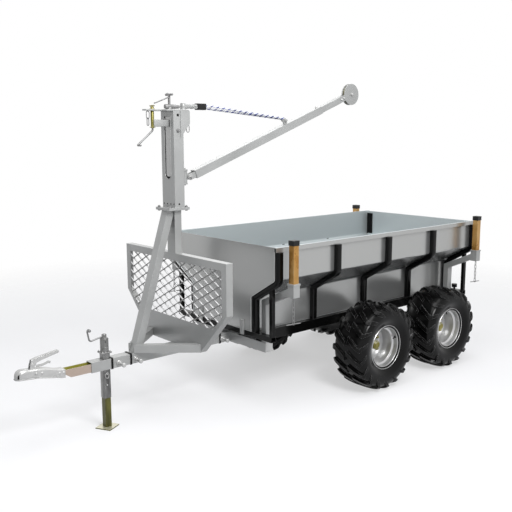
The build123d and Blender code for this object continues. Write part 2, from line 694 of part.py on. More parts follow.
# Front leg, braces, mast foot and the flanges between the two halves of the mast
lean = math.atan2(LEG_FOOT_X - LEG_TOP_X, FLANGE_Z - BEAM_TOP)
run = LEG_DEEP / math.cos(lean)
leg_shape = [
    (LEG_FOOT_X - run / 2, BEAM_TOP), (LEG_FOOT_X + run / 2, BEAM_TOP),
    (LEG_TOP_X + run / 2, FLANGE_Z), (LEG_TOP_X - run / 2, FLANGE_Z)]
mast_front = BOARD_X - BOARD_DEEP / 2 + MAST_FOOT_X / 2
half_leg = LEG_WIDTH / 2
inner_run = run - 2 * TUBE_WALL / math.cos(lean)
leg_inside = [
    (LEG_FOOT_X - inner_run / 2, BEAM_TOP), (LEG_FOOT_X + inner_run / 2, BEAM_TOP),
    (LEG_TOP_X + inner_run / 2, FLANGE_Z), (LEG_TOP_X - inner_run / 2, FLANGE_Z)]
front_leg = prism_xz(leg_shape, -half_leg, half_leg)
front_leg -= prism_xz(leg_inside, TUBE_WALL - half_leg, half_leg - TUBE_WALL)
front_leg -= block(0, mast_front, -half_leg - 1, half_leg + 1, BEAM_TOP, FLANGE_Z)
keep("front_leg", front_leg)
braces = []
for side, across in SIDES:
    leg_x = LEG_FOOT_X - run / 2
    plan = [
        (leg_x + 52, across * LEG_WIDTH / 2), (leg_x - 6, across * LEG_WIDTH / 2),
        (BOARD_X, across * (BOARD_BOTTOM_HALF - 46)), (BOARD_X, across * (BOARD_BOTTOM_HALF + 4))]
    turned_plan = plan if across < 0 else plan[::-1]
    brace = prism_xy(plan, BRACE_BOTTOM, BRACE_BOTTOM + BRACE_HIGH)
    hollow = prism_xy(shrink(turned_plan, TUBE_WALL), BRACE_BOTTOM - 1, BRACE_BOTTOM + BRACE_HIGH - TUBE_WALL)
    braces.append(brace - hollow)
keep("braces", *braces)
mast_middle = BOARD_X - BOARD_DEEP / 2
mast_foot = tube(
    "z", mast_middle - MAST_FOOT_X / 2, mast_middle + MAST_FOOT_X / 2, -MAST_FOOT_Y / 2, MAST_FOOT_Y / 2,
    BOARD_TOP, FLANGE_Z, TUBE_WALL)
flange_mid = MAST_X + 8
column_low = FLANGE_Z + 2 * FLANGE_THICK
mast_foot += block(
    flange_mid - FLANGE_HALF, flange_mid + FLANGE_HALF, -FLANGE_HALF, FLANGE_HALF,
    FLANGE_Z, FLANGE_Z + FLANGE_THICK)
keep("mast_foot", mast_foot)
mast_back = MAST_X - MAST_DEEP / 2
mast_face = MAST_X + MAST_DEEP / 2
half_mast = MAST_WIDE / 2
column = tube("z", mast_back, mast_face, -half_mast, half_mast, column_low, MAST_TOP, MAST_WALL)
slot_middle = MAST_SLOT_BOTTOM + MAST_SLOT / 2
slot = block(
    mast_face - MAST_WALL - 1, mast_face + 1, -MAST_SLOT / 2, MAST_SLOT / 2,
    slot_middle, MAST_TOP - 30)
slot += rod(
    (mast_face - MAST_WALL - 1, 0, slot_middle), (mast_face + 1, 0, slot_middle), MAST_SLOT / 2)
column -= slot
column += block(
    flange_mid - FLANGE_HALF, flange_mid + FLANGE_HALF, -FLANGE_HALF, FLANGE_HALF,
    FLANGE_Z + FLANGE_THICK, column_low)
column += rod((MAST_X, 0, MAST_CORE_BOTTOM), (MAST_X, 0, MAST_TOP), MAST_CORE_RADIUS)
column += block(mast_back, MAST_X, -6, 6, MAST_CORE_BOTTOM + 10, MAST_TOP)
for side, across in SIDES:
    column += prism_xz(
        [(mast_back + 20, GUSSET_BOTTOM), (SLEW_X + 1, GUSSET_BOTTOM + 78), (SLEW_X + 1, MAST_TOP),
         (mast_back + 20, MAST_TOP)],
        across * half_mast, across * (half_mast + 5))
keep("mast_column", column)
plate_top = MAST_TOP + TOP_PLATE
top_plate = block(SLEW_X, TOP_PLATE_FRONT, -half_mast, half_mast, MAST_TOP, plate_top)
top_plate += rod((SLEW_X, 0, MAST_TOP), (SLEW_X, 0, plate_top), 24)
top_plate += block(CHAIN_REAR_X - 9, SLEW_X, -7, 7, MAST_TOP, plate_top)
top_plate += rod((T_BOLT_X, 0, plate_top), (T_BOLT_X, 0, plate_top + 84), 8)
top_plate += rod((T_BOLT_X, 0, plate_top), (T_BOLT_X, 0, plate_top + 14), 15)
top_plate += rod((T_BOLT_X, -34, plate_top + 84), (T_BOLT_X, 34, plate_top + 84), 8)
top_plate += rod((T_BOLT_X, 0, plate_top + 74), (PIN_X - 16, 0, plate_top + 40), 3.5)
top_plate -= rod((SLEW_X, 0, MAST_TOP - 1), (SLEW_X, 0, plate_top + 1), SLEW_PIN + SHAFT_CLEARANCE)
keep("mast_top_plate", top_plate)

# Bracket on the front of the mast: plate and arm, an upright pin, and the winding crank below it
pin_top = plate_top + 16
pin_foot = PIN_LOW_Z - 8
pin_bracket = block(TOP_PLATE_FRONT, PIN_X + 56, -24, 24, MAST_TOP, plate_top)
pin_bracket += block(mast_face, PIN_X, -18, 18, PIN_LOW_Z, PIN_LOW_Z + PIN_ARM_HIGH)
pin_bracket += rod((PIN_X, 0, pin_foot), (PIN_X, 0, pin_top), 10)
pin_bracket += rod((PIN_X, -22, pin_top + 4), (PIN_X, 22, pin_top + 4), 4)
keep("front_pin_bracket", pin_bracket)
crank_end = (PIN_X + 104, 0, pin_foot - 98)
winch = rod((PIN_X, 0, pin_foot), (PIN_X, 0, pin_foot - 10), 7)
winch += rod((PIN_X, 0, pin_foot - 8), crank_end, 6)
winch += rod((crank_end[0], -8, crank_end[2]), (crank_end[0], 40, crank_end[2]), 9)
keep("winding_crank", winch)
hanging = []
for x, count in ((CHAIN_FRONT_X, 2), (CHAIN_REAR_X, 3)):
    links, bend = chain_run(x, 0, MAST_TOP - SEAT_GAP, MAST_LINK, count)
    hanging.extend(links)
keep("mast_chains", *hanging)

# Foot bracket on the back of the mast
bracket_low = 1322.0
bracket_high = 1402.0
lug_thick = 10.0
bracket = block(mast_back - 6, mast_back, -34, 34, bracket_low - 12, bracket_high + 22)
for z in (bracket_low, bracket_high):
    ear = block(SLEW_X, mast_back - 6, -20, 20, z, z + lug_thick)
    ear += rod((SLEW_X, 0, z), (SLEW_X, 0, z + lug_thick), 20)
    ear -= rod((SLEW_X, 0, z - 1), (SLEW_X, 0, z + lug_thick + 1), SLEW_PIN + SHAFT_CLEARANCE)
    bracket += ear
keep("foot_bracket", bracket)

# Slewing knuckle between the ears, with its vertical pin and the foot pin of the boom
knuckle = rod(
    (SLEW_X, 0, bracket_low + lug_thick + SEAT_GAP), (SLEW_X, 0, bracket_high - SEAT_GAP), 18)
knuckle += rod((SLEW_X, 0, bracket_low - 6), (SLEW_X, 0, bracket_high + lug_thick + 8), SLEW_PIN)
knuckle += block(FOOT_PIN_X - 14, SLEW_X - 8, -13, 13, FOOT_PIN_Z - 14, FOOT_PIN_Z + 14)
knuckle += rod((FOOT_PIN_X, -36, FOOT_PIN_Z), (FOOT_PIN_X, 36, FOOT_PIN_Z), FOOT_PIN_RADIUS)
keep("slew_knuckle", knuckle)

# Top swivel: pin in the top plate, arm to the rear, block and stay rope
swivel_low = MAST_TOP + TOP_PLATE + SEAT_GAP
swivel = rod((SLEW_X, 0, MAST_TOP - 10), (SLEW_X, 0, SWIVEL_Z + 16), SLEW_PIN)
swivel += rod((SLEW_X, 0, swivel_low), (SLEW_X, 0, swivel_low + 28), 17)
swivel += prism_xz(
    [(SLEW_X - 10, SWIVEL_Z - 14), (SLEW_X - 10, SWIVEL_Z + 14), (BLOCK_X[0] + 12, SWIVEL_Z + 8),
     (BLOCK_X[0] + 1, SWIVEL_Z + 8), (BLOCK_X[0] + 1, SWIVEL_Z - 8), (BLOCK_X[0] + 12, SWIVEL_Z - 8)],
    -10, 10)
keep("top_swivel", swivel)
rope_block = block(BLOCK_X[1], BLOCK_X[0] + 1, -20, 20, SWIVEL_Z - 20, SWIVEL_Z + 20)
keep("rope_block", rope_block)

# Boom: built level along minus X from the foot pin, then tilted up about that pin
TILT = Pos(FOOT_PIN_X, 0, FOOT_PIN_Z) * Rot(0, BOOM_ANGLE, 0) * Pos(-FOOT_PIN_X, 0, -FOOT_PIN_Z)


def along(distance):
    """The level X of a place on the boom, measured from the foot pin."""
    return FOOT_PIN_X - distance


axis_z = FOOT_PIN_Z
half_boom = BOOM_TUBE / 2
boom = block(
    along(BOOM_END), along(BOOM_START), -half_boom, half_boom, axis_z - half_boom, axis_z + half_boom)
boom -= block(
    along(BOOM_END + 1), along(BOOM_START + 8), -half_boom + BOOM_WALL, half_boom - BOOM_WALL,
    axis_z - half_boom + BOOM_WALL, axis_z + half_boom - BOOM_WALL)
for side, across in SIDES:
    y0 = across * 14.0
    y1 = across * 20.0
    cheek = block(along(BOOM_START), along(0), y0, y1, axis_z - 18, axis_z + 18)
    cheek += rod((along(0), y0, axis_z), (along(0), y1, axis_z), 18)
    cheek -= rod(
        (along(0), y0 - across, axis_z), (along(0), y1 + across, axis_z), FOOT_PIN_RADIUS + SHAFT_CLEARANCE)
    boom += cheek
eye = block(
    along(EYE_ALONG + 16), along(EYE_ALONG - 16), -4, 4, axis_z + half_boom, axis_z + EYE_RISE)
eye += rod((along(EYE_ALONG), -4, axis_z + EYE_RISE), (along(EYE_ALONG), 4, axis_z + EYE_RISE), 16)
eye += rod((along(EYE_ALONG), -20, axis_z + EYE_RISE), (along(EYE_ALONG), 20, axis_z + EYE_RISE), 5)
keep("boom_tube", TILT * (boom + eye))
half_slide = BOOM_INNER / 2
extension = block(
    along(INNER_END), along(INNER_TAIL), -half_slide, half_slide, axis_z - half_slide, axis_z + half_slide)
extension -= block(
    along(INNER_END + 1), along(INNER_TAIL - 1), -half_slide + 3, half_slide - 3,
    axis_z - half_slide + 3, axis_z + half_slide - 3)
keep("boom_extension", TILT * extension)
cheeks = []
for side, across in SIDES:
    y0 = across * (SHEAVE_WIDE / 2 + 1.5)
    y1 = y0 + across * 6
    cheek = rod((along(SHEAVE_ALONG), y0, axis_z), (along(SHEAVE_ALONG), y1, axis_z), CHEEK_RADIUS)
    cheek += block(along(SHEAVE_ALONG), along(INNER_END), y0, y1, axis_z - half_slide, axis_z + half_slide)
    cheeks.append(cheek)
fork = block(
    along(INNER_END + 30), along(INNER_END), -SHEAVE_WIDE / 2 - 7.5, SHEAVE_WIDE / 2 + 7.5,
    axis_z - half_slide, axis_z + half_slide)
head_pin = rod((along(SHEAVE_ALONG), -24, axis_z), (along(SHEAVE_ALONG), 24, axis_z), HEAD_PIN)
keep("head_block", TILT * (cheeks[0] + cheeks[1] + fork + head_pin))
groove = [
    (-SHEAVE_WIDE / 2, HEAD_PIN), (-SHEAVE_WIDE / 2, SHEAVE_RADIUS), (-4, SHEAVE_RADIUS),
    (0, SHEAVE_RADIUS - 8), (4, SHEAVE_RADIUS), (SHEAVE_WIDE / 2, SHEAVE_RADIUS), (SHEAVE_WIDE / 2, HEAD_PIN)]
sheave = Pos(along(SHEAVE_ALONG), 0, axis_z) * (faceted(groove, WHEEL_SIDES) - rod(
    (0, -SHEAVE_WIDE, 0), (0, SHEAVE_WIDE, 0), HEAD_PIN + SHAFT_CLEARANCE))
keep("head_sheave", TILT * sheave)

# Stay rope: two straight strands from the block to the pin through the boom's eye
eye_vector = TILT * Pos(along(EYE_ALONG), 0, axis_z + EYE_RISE)
eye_place = eye_vector.position
rope = []
start = Vector(BLOCK_X[1] - 1, 0, SWIVEL_Z)
direction = (eye_place - start).normalized()
end = eye_place - direction * (5 + ROPE_RADIUS + SEAT_GAP)
for side, across in SIDES:
    y = across * ROPE_SPREAD
    rope.append(rod((start.X, y, start.Z), (end.X, y, end.Z), ROPE_RADIUS))
keep("stay_rope", *rope)

# Tub: floor, stepped sides with a folded rim, front panel, ribs and the black frame below
tub_front = TUB_MIDDLE + TUB_HALF_LONG
tub_rear = TUB_MIDDLE - TUB_HALF_LONG
section = [(LOWER_Y, FLOOR_Z), (LOWER_Y, STEP_Z), (UPPER_Y, SHOULDER_Z), (UPPER_Y, TUB_TOP)]


def bent(points, offset):
    """The edge of a folded sheet at a distance from its line, with its two bends as arcs."""
    radii = [max(LOWER_BEND - offset, RIB_WALL), UPPER_BEND + offset]
    line = offset_path(points, offset)
    return FilletPolyline(*[(0, y, z) for y, z in line], radius=radii)


def folded(points, inside, outside, x0, x1):
    """A folded sheet or bar between two distances from its line, from x0 to x1."""
    outer = bent(points, outside)
    inner = bent(points, inside)
    ends = [Line(outer @ 0, inner @ 0), Line(outer @ 1, inner @ 1)]
    face = make_face(Curve() + [outer, inner] + ends)
    return Pos(x0, 0, 0) * extrude(face, x1 - x0, dir=(1, 0, 0))


def across_tub(points, offset, floor_z, x0, x1):
    """A plate that fills the tub's section inside a distance from its line, from x0 to x1."""
    side = bent([(y, max(z, floor_z)) for y, z in points], offset)
    other = mirror(side, about=Plane.XZ)
    ends = [Line(side @ 0, other @ 0), Line(side @ 1, other @ 1)]
    face = make_face(Curve() + [side, other] + ends)
    return Pos(x0, 0, 0) * extrude(face, x1 - x0, dir=(1, 0, 0))


side_sheet = folded(section, -SHEET, 0, tub_rear, tub_front)
fold = [
    (UPPER_Y, TUB_TOP), (UPPER_Y + RIM_LIP, TUB_TOP), (UPPER_Y + RIM_LIP, TUB_TOP - RIM_HIGH),
    (UPPER_Y + RIM_LIP - SHEET, TUB_TOP - RIM_HIGH), (UPPER_Y + RIM_LIP - SHEET, TUB_TOP - SHEET),
    (UPPER_Y, TUB_TOP - SHEET)]
side_sheet += prism_yz(fold, tub_rear, tub_front)
keep("tub_side_left", side_sheet)
keep("tub_side_right", mirror_y(side_sheet))
panel_front = tub_front - 4
keep("tub_floor", block(tub_rear, panel_front, -LOWER_Y, LOWER_Y, FLOOR_Z - SHEET, FLOOR_Z))
panel_offset = -SHEET - SEAT_GAP
keep("tub_front_panel", across_tub(
    section, panel_offset, FLOOR_Z + SEAT_GAP, panel_front - SHEET, panel_front))

rib_path = [(LOWER_Y, FLOOR_Z - SHEET), (LOWER_Y, STEP_Z), (UPPER_Y, SHOULDER_Z), (UPPER_Y, TUB_TOP - RIM_HIGH)]
ribs = {"left": [], "right": []}
for x in RIB_XS:
    half_rib = RIB_WIDE / 2
    rib = folded(rib_path, SEAT_GAP, RIB_DEEP, x - half_rib, x + half_rib)
    rib -= folded(
        rib_path, SEAT_GAP - 1, RIB_DEEP - RIB_WALL, x - half_rib + RIB_WALL, x + half_rib - RIB_WALL)
    ribs["left"].append(rib)
    ribs["right"].append(mirror_y(rib))
keep("ribs_left", *ribs["left"])
keep("ribs_right", *ribs["right"])

rail_outer = LOWER_Y + RIB_DEEP
rail_inner = rail_outer - RAIL_WIDE
rail_top = FLOOR_Z - SHEET
half_rib = RIB_WIDE / 2
under_frame = None
for side, across in SIDES:
    rail = tube(
        "x", RIB_XS[0] + half_rib, RIB_XS[-1] - half_rib, across * rail_inner, across * rail_outer,
        BEAM_TOP, rail_top, TUBE_WALL)
    under_frame = rail if under_frame is None else under_frame + rail
for x in RIB_XS[1:-1]:
    under_frame += tube(
        "y", x - half_rib, x + half_rib, -rail_inner, rail_inner, CROSSBAR_BOTTOM, rail_top, TUBE_WALL)
keep("tub_rails", under_frame)
lower_face = offset_path(rib_path, RIB_DEEP)
grade = (lower_face[2][1] - lower_face[1][1]) / (lower_face[2][0] - lower_face[1][0])


def under_rib(y):
    """The height of the underside of a rib's slope at a place across the tub."""
    return lower_face[1][1] + grade * (y - lower_face[1][0])


for end, x in (("front", RIB_XS[-1]), ("rear", RIB_XS[0])):
    bar = tube(
        "y", x - half_rib, x + half_rib, -CROSSBAR_HALF, CROSSBAR_HALF, CROSSBAR_BOTTOM, rail_top, TUBE_WALL)
    for side, across in SIDES:
        y0 = CROSSBAR_HALF - POST
        y1 = CROSSBAR_HALF
        post = [(y0, rail_top), (y1, rail_top), (y1, under_rib(y1)), (y0, under_rib(y0))]
        bar += prism_yz([(across * y, z) for y, z in post], x - POST / 2, x + POST / 2)
        if end == "rear":
            knob_y = across * KNOB_Y
            bar += rod((x, knob_y, rail_top), (x, knob_y, FLOOR_Z + 12), 8)
            bar += rod((x, knob_y, FLOOR_Z + 12), (x, knob_y, FLOOR_Z + 38), 21)
    keep(f"tub_stand_{end}", bar)

# Tailgate in two guide channels, held in the stepped outline of the tub
guide_mid = RIB_XS[0]
slot_half = GATE_SHEET / 2 + GATE_GAP
guides = []
for side, across in SIDES:
    y_out = across * (UPPER_Y - SHEET - 0.2)
    y_in = across * (UPPER_Y - SHEET - 0.2 - GUIDE_DEEP)
    guide = block(
        guide_mid - slot_half - GUIDE_SHEET, guide_mid + slot_half + GUIDE_SHEET, y_out, y_in,
        SHOULDER_Z + 6, TUB_TOP - 18)
    guide -= block(
        guide_mid - slot_half, guide_mid + slot_half, y_out - across * GUIDE_SHEET, y_in - across,
        SHOULDER_Z, TUB_TOP)
    guides.append(guide)
keep("gate_guides", *guides)
gate_offset = -SHEET - GUIDE_SHEET - 1.5
gate_board = across_tub(
    section, gate_offset, FLOOR_Z + SEAT_GAP, guide_mid - GATE_SHEET / 2, guide_mid + GATE_SHEET / 2)
keep("tailgate", gate_board)

# Hold-down hooks on the front of the tub, and the knob on the rear crossbar
hooks = []
for side, across in SIDES:
    y = across * HOOK_Y
    hook = block(panel_front, panel_front + 10, y - 14, y + 14, CROSSBAR_BOTTOM + 4, FLOOR_Z + 62)
    hook += block(
        RIB_XS[-1] + RIB_WIDE / 2, panel_front, y - 14, y + 14, CROSSBAR_BOTTOM + 4, FLOOR_Z - SHEET)
    hooks.append(hook)
keep("hold_downs", *hooks)

for name, solids in pieces.items():
    moved = []
    for solid in solids:
        moved.extend((Pos(SHIFT_X, 0, -GROUND_Z) * solid).solids())
    shape = moved[0] if len(moved) == 1 else Compound(children=moved)
    export_step(shape, f"parts/{name}.step")
print(len(pieces), "nodes, shift", round(SHIFT_X, 3))
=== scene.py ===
import json
import math

import bpy
import numpy as np
from mathutils import Matrix, Vector


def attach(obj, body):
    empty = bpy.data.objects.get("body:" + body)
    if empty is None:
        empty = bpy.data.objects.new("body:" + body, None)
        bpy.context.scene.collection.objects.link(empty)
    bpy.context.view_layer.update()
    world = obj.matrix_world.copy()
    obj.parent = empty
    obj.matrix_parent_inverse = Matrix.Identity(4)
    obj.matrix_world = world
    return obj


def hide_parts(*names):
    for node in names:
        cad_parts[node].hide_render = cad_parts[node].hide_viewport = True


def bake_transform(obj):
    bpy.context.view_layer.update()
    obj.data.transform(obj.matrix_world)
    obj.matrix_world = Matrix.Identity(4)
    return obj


# Timber trailer with jib crane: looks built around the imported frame, in metres.
# X points forward to the coupling, Y to the left, Z up, the ground is at zero.

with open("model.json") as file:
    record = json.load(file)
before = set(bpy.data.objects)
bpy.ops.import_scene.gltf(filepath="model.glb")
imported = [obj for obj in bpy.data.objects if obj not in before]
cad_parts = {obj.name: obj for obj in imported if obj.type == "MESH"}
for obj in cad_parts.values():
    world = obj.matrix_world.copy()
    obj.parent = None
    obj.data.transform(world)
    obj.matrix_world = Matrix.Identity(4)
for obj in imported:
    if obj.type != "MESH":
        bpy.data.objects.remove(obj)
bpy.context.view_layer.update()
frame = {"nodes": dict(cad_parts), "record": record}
NODES = frame["nodes"]

# Camera, as the photograph was taken
LENS_PIXELS = 714.5
PHOTO_PIXELS = 512
SENSOR_MM = 36.0
CAMERA_AT = (3.1182, 3.5469, 1.6634)
CAMERA_YAW = math.radians(-130.767)
CAMERA_DOWN = math.radians(9.505)
CAMERA_ROLL = math.radians(-0.15)
CAMERA_REACH = 200.0


def put(name, data):
    """A new object in the scene."""
    thing = bpy.data.objects.new(name, data)
    bpy.context.scene.collection.objects.link(thing)
    return thing


def place_camera():
    """The camera looks along a direction given by its yaw about Z and its tilt below the level."""
    data = bpy.data.cameras.new("photo_camera")
    data.sensor_width = SENSOR_MM
    data.lens = SENSOR_MM * LENS_PIXELS / PHOTO_PIXELS
    data.clip_end = CAMERA_REACH
    camera = put("photo_camera", data)
    ahead = Vector((
        math.cos(CAMERA_DOWN) * math.cos(CAMERA_YAW),
        math.cos(CAMERA_DOWN) * math.sin(CAMERA_YAW),
        -math.sin(CAMERA_DOWN)))
    turn = ahead.to_track_quat("-Z", "Y").to_matrix().to_4x4()
    camera.matrix_world = Matrix.Translation(CAMERA_AT) @ turn @ Matrix.Rotation(CAMERA_ROLL, 4, "Z")
    bpy.context.scene.camera = camera


place_camera()

# Materials
NOISE_ROUGHNESS = 0.55
BEVEL_SAMPLES = 4
# Cosines between the rounded and the flat normal: none of the edge shows above the first, all below
# the second
EDGE_COSINES = (0.995, 0.80)
GRAIN_DEPTH = 0.002


def shader_group(name, inputs, outputs):
    """An empty shader group with named sockets; returns the group and its two end nodes."""
    group = bpy.data.node_groups.new(name, "ShaderNodeTree")
    for kind, label, value in inputs:
        socket = group.interface.new_socket(name=label, in_out="INPUT", socket_type=kind)
        socket.default_value = value
    for kind, label in outputs:
        group.interface.new_socket(name=label, in_out="OUTPUT", socket_type=kind)
    return group, group.nodes.new("NodeGroupInput"), group.nodes.new("NodeGroupOutput")


def feed(tree, slot, value):
    """Sets an input to a number or a tuple, or links a socket to it."""
    if isinstance(value, (int, float, tuple)):
        slot.default_value = value
    else:
        tree.links.new(value, slot)


def math_node(tree, operation, first, second):
    """One Math node; each argument is a socket or a number."""
    node = tree.nodes.new("ShaderNodeMath")
    node.operation = operation
    feed(tree, node.inputs[0], first)
    feed(tree, node.inputs[1], second)
    return node.outputs[0]


def vector_node(tree, operation, *values, output="Vector"):
    """One Vector Math node; each argument is a socket or a tuple of three."""
    node = tree.nodes.new("ShaderNodeVectorMath")
    node.operation = operation
    for slot, value in zip(node.inputs, values):
        feed(tree, slot, value)
    return node.outputs[output]


def object_place(tree):
    """The Object coordinates, which ride with a piece as it moves."""
    return tree.nodes.new("ShaderNodeTexCoord").outputs["Object"]


def face_normal(tree):
    """The normal as the mesh gives it."""
    return tree.nodes.new("ShaderNodeNewGeometry").outputs["Normal"]


def noise_node(tree, coordinates, scale, detail=4.0):
    """One Noise Texture node on the given coordinates; returns its factor."""
    node = tree.nodes.new("ShaderNodeTexNoise")
    node.inputs["Detail"].default_value = detail
    node.inputs["Roughness"].default_value = NOISE_ROUGHNESS
    tree.links.new(coordinates, node.inputs["Vector"])
    feed(tree, node.inputs["Scale"], scale)
    return node.outputs[0]


def ramp_node(tree, value, low, high, out_low=0.0, out_high=1.0):
    """One Map Range node that carries low..high onto out_low..out_high and stays inside them."""
    node = tree.nodes.new("ShaderNodeMapRange")
    node.clamp = True
    tree.links.new(value, node.inputs["Value"])
    node.inputs["From Min"].default_value = low
    node.inputs["From Max"].default_value = high
    node.inputs["To Min"].default_value = out_low
    node.inputs["To Max"].default_value = out_high
    return node.outputs[0]


def soft_edge_group():
    """Rounded normals at sharp edges, and a mask that is 1 where the edge is, broken up by noise."""
    group, start, end = shader_group(
        "soft_edges", [("NodeSocketFloat", "Radius", 0.0015)],
        [("NodeSocketVector", "Normal"), ("NodeSocketFloat", "Edge")])
    bevel = group.nodes.new("ShaderNodeBevel")
    bevel.samples = BEVEL_SAMPLES
    group.links.new(start.outputs["Radius"], bevel.inputs["Radius"])
    cosine = vector_node(group, "DOT_PRODUCT", bevel.outputs["Normal"], face_normal(group), output="Value")
    broken = ramp_node(group, noise_node(group, object_place(group), 35.0), 0.35, 0.65)
    edge = ramp_node(group, cosine, *EDGE_COSINES)
    group.links.new(bevel.outputs["Normal"], end.inputs["Normal"])
    group.links.new(math_node(group, "MULTIPLY", edge, broken), end.inputs["Edge"])
    return group


def mottle_group():
    """Slow cloudy change over a surface and fine grain, both from noise on Object coordinates."""
    group, start, end = shader_group(
        "mottle",
        [("NodeSocketVector", "Stretch", (1.0, 1.0, 1.0)), ("NodeSocketFloat", "Cloud Scale", 3.0),
         ("NodeSocketFloat", "Grain Scale", 180.0)],
        [("NodeSocketFloat", "Cloud"), ("NodeSocketFloat", "Grain")])
    stretched = vector_node(group, "MULTIPLY", object_place(group), start.outputs["Stretch"])
    cloud = noise_node(group, stretched, start.outputs["Cloud Scale"], 3.0)
    grain = noise_node(group, stretched, start.outputs["Grain Scale"], 2.0)
    group.links.new(ramp_node(group, cloud, 0.3, 0.7), end.inputs["Cloud"])
    group.links.new(grain, end.inputs["Grain"])
    return group


# Middles of the hollows whose inner faces have a colour of their own, and how far inwards it starts
TUB_HOLLOW = ((-0.6635, 0.0, 1.25), 0.02)
NOSE_HOLLOW = ((1.3535, 0.0, 0.385), 0.005)
INSIDE_ROUGHER = 0.25
SOFT_EDGES = soft_edge_group()
MOTTLE = mottle_group()


def use_group(tree, group, **values):
    """Places a shader group and sets its inputs by name, with underscores for spaces."""
    node = tree.nodes.new("ShaderNodeGroup")
    node.node_tree = group
    for name, value in values.items():
        node.inputs[name.replace("_", " ")].default_value = value
    return node


def blend_colours(tree, factor, low, high):
    """A colour between two colours, each a tuple or a socket."""
    mix = tree.nodes.new("ShaderNodeMix")
    mix.data_type = "RGBA"
    tree.links.new(factor, mix.inputs["Factor"])
    for label, value in (("A", low), ("B", high)):
        socket = [s for s in mix.inputs if s.name == label and s.type == "RGBA"][0]
        feed(tree, socket, value + (1.0,) if isinstance(value, tuple) else value)
    return [s for s in mix.outputs if s.type == "RGBA"][0]


def finish(name, dark, light, metallic=0.0, rough=(0.3, 0.45), edge=None, edge_radius=0.0015,
           stretch=(1.0, 1.0, 1.0), cloud=3.0, bump=0.02, shine=0.5, painted_light_colour=None, painted_light_axis=2, inside=None,
           hollow=TUB_HOLLOW):
    """A finish that wanders between two colours, with rounded edges and grain, a painted highlight
    along the edges, painted light in a colour of its own on the faces that look along one axis, and
    an inside colour on the faces that look into a hollow."""
    material = bpy.data.materials.new(name)
    material.use_nodes = True
    tree = material.node_tree
    shader = tree.nodes["Principled BSDF"]
    shader.inputs["Metallic"].default_value = metallic
    shader.inputs["Specular IOR Level"].default_value = shine
    mottle = use_group(tree, MOTTLE, Stretch=stretch, Cloud_Scale=cloud)
    colour = blend_colours(tree, mottle.outputs["Cloud"], dark, light)
    roughness = ramp_node(tree, mottle.outputs["Cloud"], 0.0, 1.0, rough[0], rough[1])
    # Painted light: the faces that look along the given axis take a lighter colour of their own.
    if painted_light_colour is not None:
        axes = tree.nodes.new("ShaderNodeSeparateXYZ")
        tree.links.new(face_normal(tree), axes.inputs[0])
        colour = blend_colours(tree, ramp_node(tree, axes.outputs[painted_light_axis], 0.3, 0.7), colour, painted_light_colour)
    # Faces that look into the hollow take the inside colour; the tub sheet's lighter inside colour is
    # painted light.
    if inside is not None:
        middle, depth = hollow
        out = vector_node(tree, "SUBTRACT", object_place(tree), middle)
        along = vector_node(tree, "DOT_PRODUCT", out, face_normal(tree), output="Value")
        inwards = ramp_node(tree, along, -depth, -3 * depth)
        colour = blend_colours(tree, inwards, colour, inside)
        roughness = math_node(tree, "ADD", roughness, math_node(tree, "MULTIPLY", inwards, INSIDE_ROUGHER))
    edges = use_group(tree, SOFT_EDGES, Radius=edge_radius)
    # Painted highlight: the edge colour is laid along the sharp edges, broken up by noise.
    if edge is not None:
        colour = blend_colours(tree, edges.outputs["Edge"], colour, edge)
    tree.links.new(colour, shader.inputs["Base Color"])
    tree.links.new(roughness, shader.inputs["Roughness"])
    relief = tree.nodes.new("ShaderNodeBump")
    relief.inputs["Strength"].default_value = bump
    relief.inputs["Distance"].default_value = GRAIN_DEPTH
    tree.links.new(mottle.outputs["Grain"], relief.inputs["Height"])
    tree.links.new(edges.outputs["Normal"], relief.inputs["Normal"])
    tree.links.new(relief.outputs["Normal"], shader.inputs["Normal"])
    return material
